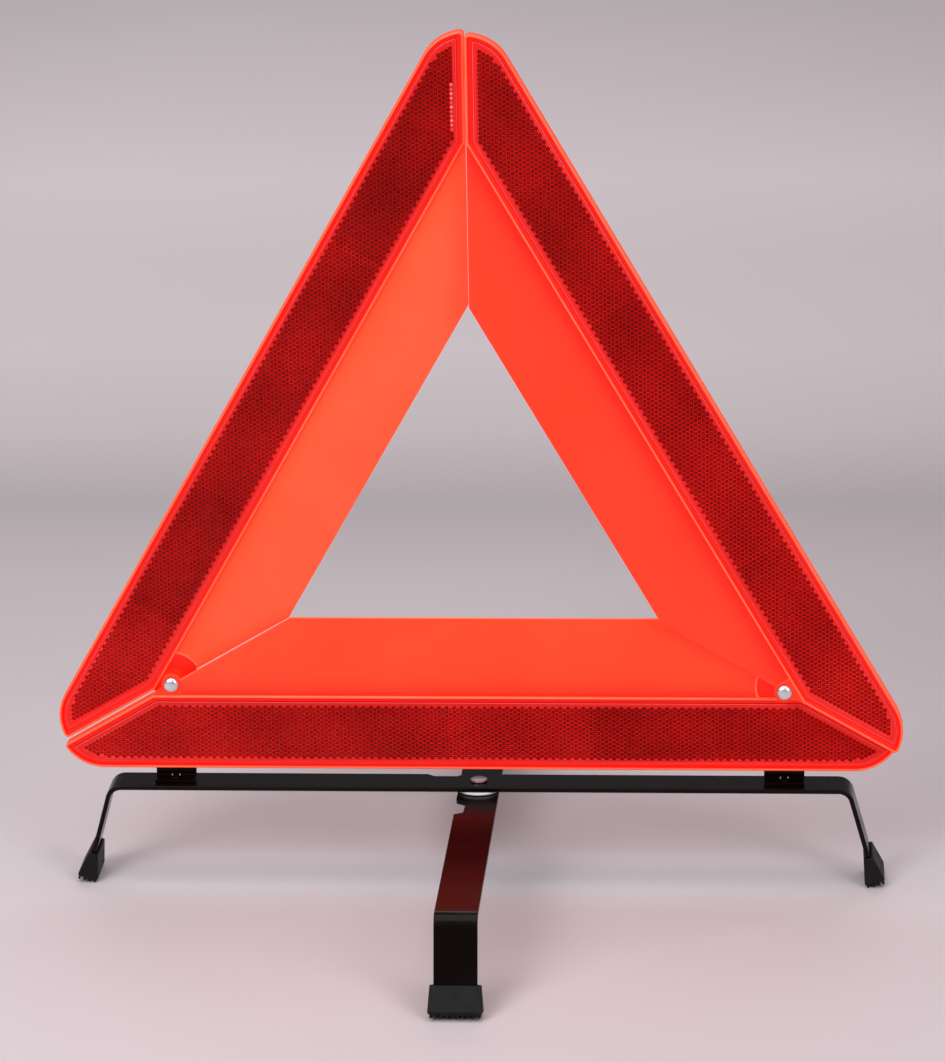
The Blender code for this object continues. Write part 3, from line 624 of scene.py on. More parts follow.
def add_tray(bm, gap):
    """The frame round the reflector: rounded lip, groove, lens seat and open back.

    Its profile is made of (inset, depth, tone) points, the tone being painted light and shade.
    """
    start = 0.00002
    # The tones paint a highlight on the rounded outer lip, and shade, deep red, down the inner lip, in the
    # groove and in the lens seat.
    profile = [(0.0, ARM_BACK - 0.0003, 0.4), (0.0, 0.004, 0.55), (0.0, 0.0011, 0.62)]
    for turn in (15, 35, 55, 75, 90):
        a = math.radians(turn)
        inset = LIP_OUTER_ROUND * (1 - math.cos(a))
        profile.append((inset, LIP_OUTER_ROUND * (1 - math.sin(a)) + start, 0.80))
    for turn, light_and_shade in ((20, 0.76), (45, 0.6), (70, 0.36), (90, 0.22)):
        a = math.radians(turn)
        inset = LIP - 0.00005 - LIP_INNER_ROUND * (1 - math.sin(a))
        profile.append((inset, LIP_INNER_ROUND * (1 - math.cos(a)) + start, light_and_shade))
    profile += [
        (LIP + 0.00008, 0.0013, 0.14),
        (LIP + 0.00025, GROOVE_FLOOR - 0.0003, 0.10),
        (LIP + 0.0006, GROOVE_FLOOR, 0.12),
        (LENS_INSET - 0.0002, GROOVE_FLOOR, 0.10),
        (LENS_INSET - 0.0002, SEAT_DEPTH, 0.05),
        (LENS_INSET + 0.0022, SEAT_DEPTH, 0.05),
        (LENS_INSET + 0.0022, ARM_BACK, 0.35),
        (0.0003, ARM_BACK, 0.35),
    ]
    rings = [tray_ring(inset, depth, gap) for inset, depth, _ in profile]
    add_loft(bm, rings, closed=True, tones=[light_and_shade for _, _, light_and_shade in profile])


def mitre_x(z, gap=MITRE_GAP):
    """Where the arm's mitred end is, at a distance z in from the long edge."""
    return SIDE / 2 - z / TAN30 - 2 * gap


def panel_outline(recess, left_gap):
    """The thin panel from inside the tray wall to the opening, less the recess at its right end."""
    top_left, top_right = -mitre_x(BAND, left_gap), mitre_x(BAND)
    outline = [(-mitre_x(PANEL_ROOT, left_gap), PANEL_ROOT)]
    if recess:
        outline += arc((HINGE_X, HINGE_RISE), RECESS_RADIUS, RECESS_START_ANGLE, RECESS_END_ANGLE, 12)
        rise = HINGE_RISE + RECESS_RADIUS * math.sin(math.radians(RECESS_END_ANGLE))
        outline.append((mitre_x(rise) + PANEL_PAST_MITRE, rise))
        top_right += PANEL_PAST_MITRE
    else:
        outline.append((mitre_x(PANEL_ROOT), PANEL_ROOT))
    inward = 0.4 * PANEL_FILLET
    for centre, start in ((top_right - inward, MITRE_NORMAL_ANGLE), (top_left + inward, 90)):
        outline += arc((centre, BAND - PANEL_FILLET), PANEL_FILLET, start, start + 30, 4)
    return outline


def add_panel(bm, recess, gap, tone):
    """The arm's thin panel, with painted shade, deeper red, beside the tray wall, and painted highlights on
    its rounded edges. Cross cuts let the tone follow the wall.
    """

    # Painted shade: the tone falls off towards the tray wall.
    def shade(point):
        away = max(0.0, point.z - TRAY_WIDTH - CUT_ROWS[0])
        return tone - WALL_SHADE * math.exp(-away / WALL_SHADE_REACH)

    cuts = [((0, 0, TRAY_WIDTH + step), (0, 0, 1)) for step in CUT_ROWS]
    cuts += [((CUT_PITCH * i, 0, 0), (1, 0, 0)) for i in range(-CUTS_A_SIDE, CUTS_A_SIDE + 1)]
    looks = {"light_and_shade": shade, "edge_highlight": 0.95, "cuts": cuts, "clamp": False}
    add_plate(bm, panel_outline(recess, gap), PANEL_FRONT, PANEL_BACK, 0.0005, **looks)


def add_recess_floor(bm):
    """Set-back floor of the recess, its raised rim, and the round plate that the rivet passes through."""
    hinge = (HINGE_X, HINGE_RISE)
    start = HINGE_X - RECESS_RADIUS - 0.0008
    low, high = 0.0440, 0.0565
    floor = [(start, PANEL_ROOT), (mitre_x(PANEL_ROOT), PANEL_ROOT), (mitre_x(low) + FLOOR_PAST_MITRE, low)]
    floor += [(mitre_x(high) + FLOOR_PAST_MITRE, high), (start, high)]
    back = PANEL_BACK - 0.0001
    # The recess floor and the rivet's plate are painted darker, as painted shade in the set-back recess; the
    # raised rim and the plate's edge carry painted highlights.
    add_plate(bm, floor, RECESS_FLOOR, back, 0.0002, light_and_shade=0.24)
    rim = arc(hinge, RECESS_RADIUS - 0.0001, RECESS_START_ANGLE, RECESS_END_ANGLE + 1, 12)
    rim += arc(hinge, RECESS_RADIUS + 0.0011, RECESS_END_ANGLE + 1, RECESS_START_ANGLE, 12)
    add_plate(bm, rim, PANEL_FRONT - 0.0006, back, 0.0003, light_and_shade=0.78, edge_highlight=0.85, clamp=False)
    disc = arc(hinge, LUG_RADIUS, 0, 351, 39)
    add_plate(bm, disc, RECESS_FLOOR - 0.0004, PANEL_BACK + 0.0003, 0.0003, light_and_shade=0.30, edge_highlight=0.62)


def add_lug(bm):
    """Raised pad round the rivet, joined to the tray wall, and the boss behind it."""
    hinge = (-HINGE_X, HINGE_RISE)
    pad = [(-HINGE_X + LUG_RADIUS, PANEL_ROOT)]
    pad += arc(hinge, LUG_RADIUS, 0, 205, 26)
    end = -mitre_x(PANEL_ROOT)
    pad += [(end + 0.0002, PANEL_ROOT + 0.0006), (end + 0.001, PANEL_ROOT)]
    # The pad is painted a little darker than the panel, and its rounded edge with a painted highlight.
    add_plate(bm, pad, LUG_FRONT, PANEL_BACK - 0.0002, 0.0006, 3, light_and_shade=0.34, edge_highlight=0.70, clamp=False)
    boss = arc(hinge, LUG_RADIUS, 0, 351, 39)
    add_plate(bm, boss, LUG_FRONT + 0.0006, LUG_BACK, 0.0002, light_and_shade=0.4, edge_highlight=0.3)


def add_ribs(bm):
    """Four stiffening ribs across the panel's back."""
    pitch, half, height = 0.050, 0.0006, 0.0025
    low, high = TRAY_WIDTH - 0.0005, BAND - 0.004
    for i in range(4):
        x = (i - 1.5) * pitch
        rib = [(x - half, low), (x + half, low), (x + half, high), (x - half, high)]
        add_plate(bm, rib, PANEL_BACK - 0.0004, PANEL_BACK + height, 0.0002)


def add_screw_blocks(bm):
    """Solid blocks in the tray's back that the bracket screws go into."""
    half, top = 0.012, 0.0098
    for middle in (-HINGE_X, HINGE_X):
        block = [(middle - half, LIP), (middle + half, LIP), (middle + half, top), (middle - half, top)]
        add_plate(bm, block, SEAT_DEPTH + 0.0001, ARM_BACK - 0.0003, 0.0003)


def add_tongue(bm):
    """Flat tongue past the apex end of the left arm, behind the right arm."""
    root, neck, tip = -0.0018, 0.0095, 0.012
    half, tip_half = 0.006, 0.0045
    part = bmesh.new()
    tongue = [(-half, root), (half, root), (half, neck), (tip_half, tip), (-tip_half, tip), (-half, neck)]
    add_plate(part, tongue, 0.0002, 0.0018, 0.0003)
    across = 0.022
    place = (-SIDE / 2 + across / TAN30, 0.0, across)
    part.transform(Matrix.Translation(place) @ Matrix.Rotation(-math.radians(30), 4, "Y"))
    append(bm, part)


def moulding(label, body, matrix, tone, features, gap=MITRE_GAP):
    """One arm's moulding: tray, panel and ribs, with the features that this arm has."""
    bm = bmesh.new()
    add_tray(bm, gap)
    add_panel(bm, add_recess_floor in features, gap, tone)
    add_ribs(bm)
    for add_feature in features:
        add_feature(bm)
    finish_piece(f"{label}_moulding", bm, ORANGE, body, f"{label}_arm", matrix)


# Reflectors


def in_field(x, z, gap=MITRE_GAP):
    """Whether a whole prism round (x, z) fits inside the reflector's smooth border."""
    margin = 0.47 * PRISM_PITCH
    if z < PRISM_EDGE + margin or z > PRISM_TOP - margin:
        return False
    from_mitre = (SIDE / 2 - abs(x)) * SIN30 - z * COS30
    if from_mitre < PRISM_END + margin + (gap - MITRE_GAP if x < 0 else 0.0):
        return False
    origin_x = SIDE / 2 - CORNER_RADIUS / TAN30
    if abs(x) > origin_x and z < CORNER_RADIUS:
        return math.hypot(abs(x) - origin_x, z - CORNER_RADIUS) < CORNER_RADIUS - PRISM_EDGE - margin
    return True


def reflection_bands(x, z, seed):
    """Broad slanting bands of painted reflection, lighter and darker, across the prisms, from about -1 to 1.
    """
    slant = math.sin(95 * x + 60 * z + 1.7 * seed) + 0.6 * math.sin(210 * z - 40 * x + seed)
    return 0.62 * slant


def add_prism(bm, layer, rng, x, z, ridge, pit_tone, core):
    """One hexagonal pit with alternate high and low corners, and a small raised core."""
    radius = PRISM_PITCH / math.sqrt(3)
    lift = rng.uniform(-0.00005, 0.00005)
    change = rng.uniform(-0.07, 0.07)
    centre = bm.verts.new((x, PRISM_DEEP - PRISM_CORE + lift, z))
    centre[layer] = min(1.0, core + change)
    outer = []
    inner = []
    for k in range(6):
        high = k % 2 == 0
        front, tone, share = (0.0, ridge, 0.62) if high else (LOW_CORNER, 0.88 * ridge, 0.52)
        c, s = math.cos(math.radians(60 * k)), math.sin(math.radians(60 * k))
        rim = bm.verts.new((x + radius * c, PRISM_FRONT + front, z + radius * s))
        rim[layer] = min(0.84, tone)
        pit = bm.verts.new((x + share * radius * c, PRISM_DEEP + lift, z + share * radius * s))
        pit[layer] = max(0.0, pit_tone + 0.5 * change)
        outer.append(rim)
        inner.append(pit)
    for k in range(6):
        j = (k + 1) % 6
        bm.faces.new((outer[k], outer[j], inner[j], inner[k]))
        bm.faces.new((inner[k], inner[j], centre))


def add_prism_field(bm, layer, seed, brightness, bright_end, glints, gap):
    """Prisms in rows square to the arm. They were moulded in blocks, each with its own tone; the prism tones
    are painted light and shade.
    """
    rng = random.Random(seed)
    column = PRISM_PITCH * COS30
    for i in range(-PRISM_COLUMNS_A_SIDE, PRISM_COLUMNS_A_SIDE + 1):
        x = i * column
        place = (x + SIDE / 2) / PRISM_BLOCK
        block = math.floor(place)
        at_joint = (place - block) * PRISM_BLOCK < column
        along = 0.5 + bright_end * x / SIDE
        for j in range(PRISM_ROWS):
            z = PRISM_EDGE + PRISM_PITCH * (j + 0.5 + 0.5 * (i % 2))
            if not in_field(x, z, gap):
                continue
            # shade is painted light: brighter for this arm and towards its lit end, varied by block, with
            # painted reflection bands.
            shade = brightness + 0.26 * along**2 + 0.05 * math.sin(2.4 * block + seed)
            shade += 0.09 * reflection_bands(x, z, seed)
            ridge = 0.70 * shade + (0.10 if at_joint else 0.0)
            pit_tone = max(0.02, 0.12 + 0.55 * (shade - 1.0))
            outermost = not in_field(x, z - PRISM_PITCH) or not in_field(x, z + PRISM_PITCH)
            core = 0.58 if outermost else 0.42 * shade
            at_mitre = x < 0 and not in_field(x - column, z + PRISM_PITCH / 2, gap)
            # Painted glints: a row of bright prisms by the mitre.
            if glints and at_mitre and GLINT_START < z < PRISM_TOP - PRISM_PITCH:
                pit_tone, core = 0.92, 1.0
            add_prism(bm, layer, rng, x, z, ridge, pit_tone, core)


def reflector(label, body, matrix, seed, brightness, bright_end, glints=False, gap=MITRE_GAP):
    """Red lens: a smooth border with two fine moulded edges, round a field of prisms.

    bright_end is the arm's end, -1 or 1, where the painted light is brighter. glints adds a short row of
    painted glints, bright prisms, by the left end.
    """
    bm = bmesh.new()
    layer = tone_layer(bm, "prism_tone")
    add_prism_field(bm, layer, seed, brightness, bright_end, glints, gap)
    bmesh.ops.remove_doubles(bm, verts=bm.verts, dist=2e-5)
    rim = [e for e in bm.edges if e.is_boundary]
    # The border's tones near 0.9 paint pale highlight lines on its two moulded edges.
    border = [
        (LENS_INSET, LENS_BACK, 0.3),
        (LENS_INSET, LENS_FRONT + 0.0004, 0.6),
        (LENS_INSET + 0.0001, LENS_FRONT + 0.0001, 0.91),
        (LENS_INSET + 0.0003, LENS_FRONT, 0.90),
        (LENS_INSET + 0.0005, LENS_FRONT, 0.74),
        (LENS_INSET + 0.0010, LENS_FRONT, 0.72),
        (LENS_INSET + 0.00112, LENS_FRONT + 0.00003, 0.88),
        (LENS_INSET + 0.00125, LENS_FRONT + 0.0001, 0.72),
    ]
    rings = [tray_ring(inset, depth, gap) for inset, depth, _ in border]
    rows = add_loft(bm, rings, tones=[tone for _, _, tone in border], tone_name="prism_tone")
    last = set(rows[-1])
    rim += [e for e in bm.edges if e.is_boundary and set(e.verts) <= last]
    bmesh.ops.triangle_fill(bm, use_beauty=True, use_dissolve=False, edges=rim, normal=(0, -1, 0))
    back = [tray_ring(LENS_INSET + 0.0001, depth, gap) for depth in (LENS_BACK - 0.0003, LENS_BACK)]
    add_loft(bm, back, caps=True, tones=(0.3, 0.3), tone_name="prism_tone")
    finish_piece(
        f"{label}_lens", bm, PRISMS, body, f"{label}_reflector", matrix, sharp=20.0, flat=False
    )


def side_matrix(side):
    """Places a flat arm as the left (-1) or right (+1) side of the triangle, in its own layer."""
    hinge = LEFT_HINGE if side < 0 else RIGHT_HINGE
    about = Matrix.Translation((0, 0, CENTROID))
    turn = about @ Matrix.Rotation(-side * math.radians(120), 4, "Y") @ about.inverted()
    to_hinge = Matrix.Translation((-side * HINGE_X, -side * LAYER, -HINGE_RISE))
    return Matrix.Translation(hinge) @ Matrix.Rotation(-side * LEAN, 4, "X") @ to_hinge @ turn


def build_arms():
    base = Matrix.Translation((0, ARM_FRONT_Y, ARM_BOTTOM))
    left, right = side_matrix(-1), side_matrix(1)
    # The panel tones differ per arm as painted light: the left panel lit brightest, the right darkest.
    moulding("base", "base", base, 0.43, (add_recess_floor, add_lug, add_screw_blocks))
    moulding("left", "left_side", left, 0.59, (add_recess_floor, add_tongue), APEX_GAP)
    moulding("right", "right_side", right, 0.36, (add_lug,))
    # Each reflector's brightness and brighter end are painted light on its prisms.
    reflector("base", "base", base, 1, 1.06, -1)
    reflector("left", "left_side", left, 2, 0.94, 1, glints=True, gap=APEX_GAP)
    reflector("right", "right_side", right, 3, 1.0, -1)


# Rivets and washers


def dome(radius, height, edge, steps=10):
    """Profile of a domed head, from its crown to its seat, with a short upright edge."""
    points = [
        (radius * math.sin(math.radians(a)), edge + (height - edge) * math.cos(math.radians(a)))
        for a in (90 * i / steps for i in range(steps + 1))
    ]
    points[0] = (0.0, height)
    return points + [(radius, 0.15 * edge), (radius * 0.97, 0.0)]


def rivet_profile(head, shank, length, tail):
    """A head with its seat at height 0, the shank below it, and the upset tail."""
    return head + [(shank, 0.0), (shank, -length)] + [(radius, -length - depth) for radius, depth in tail]


def washer(inner, outer, thickness, corner=0.00015):
    """Profile of a washer whose outer edges are chamfered."""
    half = thickness / 2
    rim = [(outer - corner, half), (outer, half - corner), (outer, -half + corner), (outer - corner, -half)]
    return rim + [(inner, -half), (inner, half)]


def corner_joint(side, label):
    """Rivet through the front arm's pad and the arm behind it, with a washer under its tail."""
    front = 0.0 if side < 0 else -LAYER
    hinge = LEFT_HINGE if side < 0 else RIGHT_HINGE
    seat = front + LUG_FRONT - CLEARANCE
    plate_back = front + LAYER + PANEL_BACK + CLEARANCE
    length = plate_back + CORNER_WASHER + 2 * CLEARANCE - seat
    to_front = (
        Matrix.Translation(hinge)
        @ Matrix.Rotation(-side * LEAN, 4, "X")
        @ Matrix.Rotation(math.pi / 2, 4, "X")
    )
    bm = bmesh.new()
    add_turned(bm, rivet_profile(dome(0.0041, 0.0021, 0.0003), 0.0020, length, CORNER_TAIL))
    place = to_front @ Matrix.Translation((0, 0, -seat))
    node = f"{label}_corner_rivet"
    finish_piece(f"{label}_rivet_bright", bm, BRIGHT_ZINC, "base", node, place)
    bm = bmesh.new()
    add_turned(bm, washer(0.0023, 0.0046, CORNER_WASHER))
    place = to_front @ Matrix.Translation((0, 0, -(plate_back + CLEARANCE + CORNER_WASHER / 2)))
    node = f"{label}_corner_washer"
    finish_piece(f"{label}_rivet_washer", bm, DULL_ZINC, "base", node, place)


def build_centre_joint():
    """Rivet through both bars, the nylon washer between them, and the steel one under its tail."""
    bore = 0.0029
    seat = BAR_TOP + CLEARANCE
    under = CROSSING_TOP - STRIP_THICKNESS
    length = seat - under + CENTRE_WASHER + 2 * CLEARANCE
    bm = bmesh.new()
    add_turned(bm, rivet_profile(dome(0.0048, 0.0017, 0.0007), 0.0026, length, CENTRE_TAIL))
    place = Matrix.Translation((0, 0, seat))
    # The centre rivet's darker, reddish zinc is a painted reflection of the red triangle.
    finish_piece("centre_rivet_painted_reflection", bm, RED_REFLECTING_ZINC, "base", "centre_rivet", place)
    bm = bmesh.new()
    add_turned(bm, washer(bore, 0.0126, FRICTION_WASHER, 0.0003), 72)
    place = Matrix.Translation((0, 0, CROSSING_TOP + CLEARANCE + FRICTION_WASHER / 2))
    finish_piece("friction_disc", bm, NYLON, "base", "friction_washer", place)
    bm = bmesh.new()
    add_turned(bm, washer(bore, 0.0062, CENTRE_WASHER))
    place = Matrix.Translation((0, 0, under - CLEARANCE - CENTRE_WASHER / 2))
    finish_piece("lower_washer", bm, DULL_ZINC, "base", "centre_washer", place)


# Stand bars


def bend_point(point, half_length, top):
    """Moves a point of the flat bar (x along, y across, z up to its top at 0) to the bent bar."""
    start = half_length - BEND_RADIUS
    x, y, z = point
    side = 1 if x >= 0 else -1
    past = abs(x) - start
    if past <= 0:
        return (x, y, top + z)
    angle = min(past / BEND_MIDDLE, BEND_TURN)
    rest = max(0.0, past - BEND_MIDDLE * BEND_TURN)
    radius = BEND_RADIUS + z
    across = start + radius * math.sin(angle) + rest * math.cos(BEND_TURN)
    down = top - BEND_RADIUS + radius * math.cos(angle) - rest * math.sin(BEND_TURN)
    return (side * across, y, down)


def bar_mesh(half_length, top, notch):
    """Bent bar from its flat pattern, with a notch in its +Y edge. Returns a bmesh."""
    half = STRIP_WIDTH / 2
    start = half_length - BEND_RADIUS
    leg = (top - BEND_RADIUS + BEND_MIDDLE * math.cos(BEND_TURN) - LEG_END) / math.sin(BEND_TURN)
    reach = start + BEND_MIDDLE * BEND_TURN + leg - STRIP_CORNER
    side = half - STRIP_CORNER
    outline = arc((-reach, -side), STRIP_CORNER, 180, 270, 4)
    outline += arc((reach, -side), STRIP_CORNER, 270, 360, 4)
    outline += arc((reach, side), STRIP_CORNER, 0, 90, 4)
    outline += list(reversed(notch))
    outline += arc((-reach, side), STRIP_CORNER, 90, 180, 4)
    bm = bmesh.new()
    add_plate(bm, outline, -STRIP_THICKNESS, 0.0, 0.0005, 3, axis="Z")
    for i in range(BEND_STEPS + 1):
        where = start + BEND_MIDDLE * BEND_TURN * i / BEND_STEPS
        for x in (-where, where):
            cut_across(bm, (x, 0, 0), (1, 0, 0))
    for vert in bm.verts:
        vert.co = bend_point(vert.co, half_length, top)
    return bm


def lateral_notch():
    """In the bar's +Y edge, left of the centre rivet."""
    half = STRIP_WIDTH / 2
    depth = half - 0.0042
    left = [(-0.0290, half), (-0.0278, half - 0.0006), (-0.0258, depth + 0.0004), (-0.0246, depth)]
    right = [(-0.0129, depth), (-0.0117, depth + 0.0004), (-0.0100, half - 0.0006), (-0.0088, half)]
    return left + right


def crossing_notch():
    """In the flat bar's +Y edge, with its front end at -X."""
    half = STRIP_WIDTH / 2
    depth = half - 0.0056
    radius = 0.0020
    points = [(-0.0402, half), (-0.0385, depth + 0.0006), (-0.0372, depth)]
    points += arc((-0.0215, depth + radius), radius, 270, 340, 4)
    return points + arc((-0.0170, half - radius), radius, 160, 90, 4) + [(-0.0165, half)]


def build_bars():
    bars = (
        ("lateral_strip", "lateral_bar", "base", LATERAL_HALF, BAR_TOP, lateral_notch(), 0.0),
        ("crossing_strip", "crossing_bar", "crossing", CROSSING_HALF, CROSSING_TOP, crossing_notch(), 90.0),
    )
    for name, node, body, half_length, top, notch, turn in bars:
        bm = bar_mesh(half_length, top, notch)
        bm.transform(Matrix.Rotation(math.radians(turn), 4, "Z"))
        finish_piece(name, bm, PAINT, body, node, sharp=30.0)


# Brackets


def bracket_outline():
    """Side view in (y, z): foot on the bar, rounded bend, and the plate behind the base arm."""
    low = BAR_TOP + CLEARANCE
    back = ARM_FRONT_Y + ARM_BACK + CLEARANCE + BRACKET_THICKNESS
    top = ARM_BOTTOM + BRACKET_RISE
    centre = (back - BRACKET_BEND, low + BRACKET_BEND)
    outer = arc(centre, BRACKET_BEND, -90, 0, 8) + [(back, top), (back - BRACKET_THICKNESS, top)]
    inner = arc(centre, BRACKET_BEND - BRACKET_THICKNESS, 0, -90, 8)
    return [(ARM_FRONT_Y, low)] + outer + inner + [(ARM_FRONT_Y, low + BRACKET_THICKNESS)]


def add_dimple(bm, x, y, z):
    """A pressed stiffening bead across the inside of the bend, with a painted highlight, light grey, on its
    crest.
    """
    part = bmesh.new()
    painted_highlight = tone_layer(part, "painted_highlight")
    bmesh.ops.create_uvsphere(part, u_segments=24, v_segments=16, radius=0.001)
    for vert in part.verts:
        if vert.co.y < 0.0 and vert.co.normalized().z > 0.55 and abs(vert.co.x) < 0.00045:
            vert[painted_highlight] = 1.0
    part.transform(
        Matrix.Translation((x, y, z))
        @ Matrix.Rotation(math.radians(45), 4, "X")
        @ Matrix.Diagonal((0.6, 1.8, 1.0, 1.0))
    )
    append(bm, part)


def cut_from(bm, tool):
    """Boolean difference of one bmesh from another, in place."""
    holders = []
    for source in (bm, tool):
        bmesh.ops.recalc_face_normals(source, faces=source.faces)
        mesh = bpy.data.meshes.new("cut")
        source.to_mesh(mesh)
        holder = bpy.data.objects.new("cut", mesh)
        bpy.context.scene.collection.objects.link(holder)
        holders.append(holder)
    modifier = holders[0].modifiers.new("cut", "BOOLEAN")
    modifier.operation = "DIFFERENCE"
    modifier.solver = "EXACT"
    modifier.object = holders[1]
    bpy.context.view_layer.update()
    graph = bpy.context.evaluated_depsgraph_get()
    result = bpy.data.meshes.new_from_object(holders[0].evaluated_get(graph))
    bm.clear()
    bm.from_mesh(result)
    tool.free()
    for holder in holders:
        mesh = holder.data
        bpy.data.objects.remove(holder)
        bpy.data.meshes.remove(mesh)
    bpy.data.meshes.remove(result)


def screw(name, node, x):
    """Pan-head screw with a cross recess, driven from behind."""
    radius = 0.0022
    height = 0.0012
    shank = 0.0012
    length = 0.0042
    point = 0.0007
    bm = bmesh.new()
    profile = [(0.0, height), (0.5 * radius, height * 0.98), (0.8 * radius, height * 0.86)]
    profile += [(0.95 * radius, height * 0.6), (radius, height * 0.3), (radius, 0.0), (shank, 0.0)]
    profile += [(shank, -length), (point, -length - point), (0.0, -length - point)]
    add_turned(bm, profile, 32)
    for turn in (0, 90):
        slot = bmesh.new()
        bmesh.ops.create_cube(slot, size=1.0)
        slot.transform(
            Matrix.Rotation(math.radians(turn), 4, "Z")
            @ Matrix.Translation((0, 0, height - 0.0001))
            @ Matrix.Diagonal((0.0022, 0.0005, 0.0006, 1.0))
        )
        cut_from(bm, slot)
    seat = ARM_FRONT_Y + ARM_BACK + BRACKET_THICKNESS + 2 * CLEARANCE
    place = Matrix.Translation((x, seat, ARM_BOTTOM + SCREW_RISE)) @ Matrix.Rotation(-math.pi / 2, 4, "X")
    finish_piece(name, bm, DULL_ZINC, "base", node, place)


def bracket(side, label):
    """Bracket plate with two beads in its bend, its rivet to the bar and its screws to the base arm."""
    middle = side * HINGE_X
    bm = bmesh.new()
    add_plate(bm, bracket_outline(), middle - BRACKET_HALF, middle + BRACKET_HALF, 0.0003)
    swap_x_and_y = Matrix(((0, 1, 0, 0), (1, 0, 0, 0), (0, 0, 1, 0), (0, 0, 0, 1)))
    bm.transform(swap_x_and_y)
    for offset in (-DIMPLE_OFFSET, DIMPLE_OFFSET):
        add_dimple(bm, middle + offset, ARM_FRONT_Y + ARM_BACK - 0.0009, BAR_TOP + DIMPLE_RISE)
    finish_piece(f"{label}_bracket_plate", bm, PAINT, "base", f"{label}_bracket")
    seat = BAR_TOP + BRACKET_THICKNESS + 2 * CLEARANCE
    length = seat - BAR_TOP + STRIP_THICKNESS + CLEARANCE
    bm = bmesh.new()
    add_turned(bm, rivet_profile(dome(0.0029, 0.0008, 0.0003, 8), 0.0016, length, BRACKET_TAIL), 36)
    place = Matrix.Translation((middle, BRACKET_RIVET_Y, seat))
    finish_piece(f"{label}_foot_rivet", bm, PAINT, "base", f"{label}_bracket_rivet", place)
    for offset, letter in ((-SCREW_OFFSET, "a"), (SCREW_OFFSET, "b")):
        screw(f"{label}_screw_{letter}", f"{label}_bracket_screw_{letter}", middle + offset)


# Feet


def rounded_rectangle(thick, wide, corner, height, steps=4):
    """A closed ring in XY at a height, thick along X and wide along Y."""
    a, b = thick / 2 - corner, wide / 2 - corner
    points = []
    for cx, cy, start in ((a, b, 0), (-a, b, 90), (-a, -b, 180), (a, -b, 270)):
        points += arc((cx, cy), corner, start, start + 90, steps)
    return [(x, y, height) for x, y in points]


def add_studs(bm, thick, wide, top):
    """Short grip studs in rows over the sole, narrower towards the ground."""
    size_x, size_y = 0.55 * thick / STUD_ROWS, 0.52 * wide / STUD_COLUMNS
    levels = ((0.55, 0.2, 0.0), (0.85, 0.25, 0.0002), (1.0, 0.25, top))
    for i in range(STUD_ROWS):
        x = (i - (STUD_ROWS - 1) / 2) * (thick - size_x) / (STUD_ROWS - 1)
        for j in range(STUD_COLUMNS):
            y = (j - (STUD_COLUMNS - 1) / 2) * (wide - size_y) / (STUD_COLUMNS - 1)
            rings = [
                rounded_rectangle(share * size_x, share * size_y, corner * size_x, height, 2)
                for share, corner, height in levels
            ]
            add_loft(bm, [[(px + x, py + y, pz) for px, py, pz in ring] for ring in rings], caps=True)


def rubber_foot(label, body, turn, half_length, top):
    """Tapered rubber foot, pushed on the leg with a socket and studded on its sole."""
    bm = bmesh.new()
    add_loft(bm, [rounded_rectangle(*ring) for ring in FOOT_RINGS], caps=True)
    add_studs(bm, *STUD_FIELD, STUD + 0.0001)
    lean = Matrix.Rotation(-SPLAY, 4, "Y")
    rise = -(lean @ Vector((-SOLE_THICKNESS / 2, 0, 0))).z - SOLE_SINK
    start_x = half_length - BEND_RADIUS + BEND_MIDDLE * math.cos(SPLAY)
    start_z = top - BEND_RADIUS + BEND_MIDDLE * math.sin(SPLAY)
    centre_x = start_x + (start_z - rise) * math.tan(SPLAY)
    bm.transform(Matrix.Translation((centre_x, 0, rise)) @ lean)
    for vert in bm.verts:
        vert.co.z = max(vert.co.z, 0.0)
    bm.transform(Matrix.Rotation(math.radians(turn), 4, "Z"))
    finish_piece(f"{label}_boot", bm, RUBBER, body, f"{label}_foot", sharp=28.0)


def build_feet():
    rubber_foot("left", "base", 180, LATERAL_HALF, BAR_TOP)
    rubber_foot("right", "base", 0, LATERAL_HALF, BAR_TOP)
    rubber_foot("front", "crossing", -90, CROSSING_HALF, CROSSING_TOP)
    rubber_foot("rear", "crossing", 90, CROSSING_HALF, CROSSING_TOP)


# Studio


def build_floor():
    bm = bmesh.new()
    bmesh.ops.create_circle(bm, cap_ends=True, segments=64, radius=FLOOR_RADIUS)
    mesh = bpy.data.meshes.new("studio_floor")
    bm.to_mesh(mesh)
    bm.free()
    mesh.materials.append(studio_paper())
    floor = bpy.data.objects.new("studio_floor", mesh)
    bpy.context.scene.collection.objects.link(floor)


def area_light(name, place, target, size, power):
    """A rectangular lamp that the camera doesn't see."""
    light = bpy.data.lights.new(name, "AREA")
    light.shape = "RECTANGLE"
    light.size, light.size_y = size
    light.energy = power
    lamp = bpy.data.objects.new(name, light)
    bpy.context.scene.collection.objects.link(lamp)
    lamp.location = place
    lamp.visible_camera = False
    lamp.rotation_euler = (Vector(target) - Vector(place)).to_track_quat("-Z", "Y").to_euler()


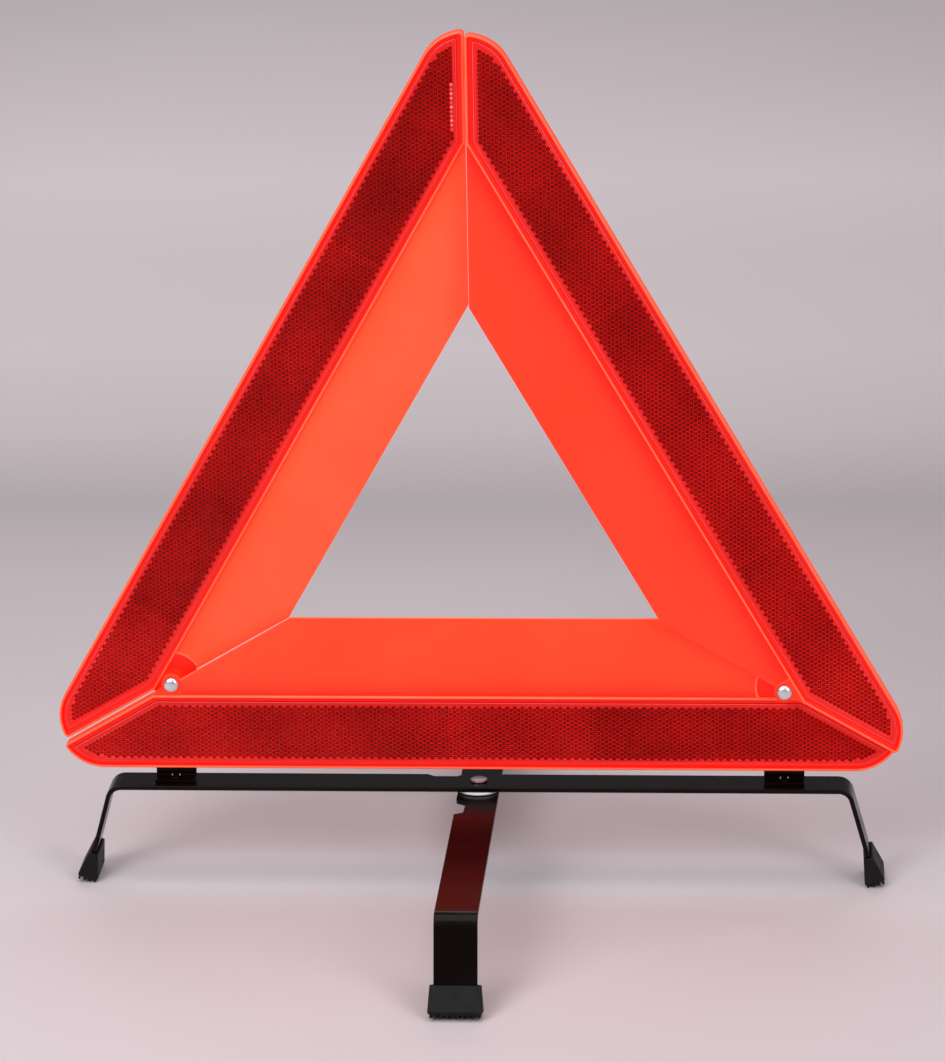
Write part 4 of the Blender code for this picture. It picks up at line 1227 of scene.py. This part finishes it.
def build_lights():
    """Four soft lamps, and a world that is paler to see than the light it gives."""
    world = bpy.data.worlds.new("studio")
    world.use_nodes = True
    nodes, links = world.node_tree.nodes, world.node_tree.links
    dim = nodes["Background"]
    dim.inputs["Color"].default_value = (0.96, 0.97, 1.0, 1.0)
    dim.inputs["Strength"].default_value = DIM_WALL
    pale = nodes.new("ShaderNodeBackground")
    pale.inputs["Color"].default_value = (*PALE_PAPER, 1.0)
    pale.inputs["Strength"].default_value = PALE_WALL
    seen = nodes.new("ShaderNodeMixShader")
    links.new(nodes.new("ShaderNodeLightPath").outputs["Is Camera Ray"], seen.inputs["Fac"])
    links.new(dim.outputs["Background"], seen.inputs[1])
    links.new(pale.outputs["Background"], seen.inputs[2])
    links.new(seen.outputs["Shader"], nodes["World Output"].inputs["Surface"])
    bpy.context.scene.world = world
    area_light("key", (-1.3, -2.2, 1.9), (0, 0, 0.2), (1.3, 1.3), 50.0)
    area_light("fill", (1.7, -2.0, 1.5), (0, 0, 0.2), (1.0, 1.4), 26.0)
    area_light("top", (0.1, -0.4, 2.3), (0.0, -0.2, 0.0), (2.6, 1.8), 32.0)
    area_light("rear", (0.0, 2.0, 2.2), (0.0, 1.7, 0.0), (2.6, 1.4), 24.0)


def build_camera():
    camera = bpy.data.cameras.new("camera")
    camera.sensor_fit = "HORIZONTAL"
    camera.sensor_width = SENSOR_MM
    camera.lens = FOCAL_LENGTH_MM
    camera.clip_end = 50.0
    holder = bpy.data.objects.new("camera", camera)
    bpy.context.scene.collection.objects.link(holder)
    level = math.cos(CAMERA_PITCH)
    forward = Vector((-math.sin(CAMERA_YAW) * level, math.cos(CAMERA_YAW) * level, -math.sin(CAMERA_PITCH)))
    across = Vector((math.cos(CAMERA_YAW), math.sin(CAMERA_YAW), 0.0))
    upward = across.cross(forward)
    axis_x = across * math.cos(CAMERA_ROLL) + upward * math.sin(CAMERA_ROLL)
    axis_y = upward * math.cos(CAMERA_ROLL) - across * math.sin(CAMERA_ROLL)
    rotation = Matrix((axis_x, axis_y, -forward)).transposed().to_4x4()
    holder.matrix_world = Matrix.Translation(CAMERA_PLACE) @ rotation
    bpy.context.scene.camera = holder


build_arms()
corner_joint(-1, "left")
corner_joint(1, "right")
build_bars()
build_centre_joint()
bracket(-1, "left")
bracket(1, "right")
build_feet()
build_floor()
build_lights()
build_camera()
bpy.context.scene.view_settings.view_transform = "Standard"
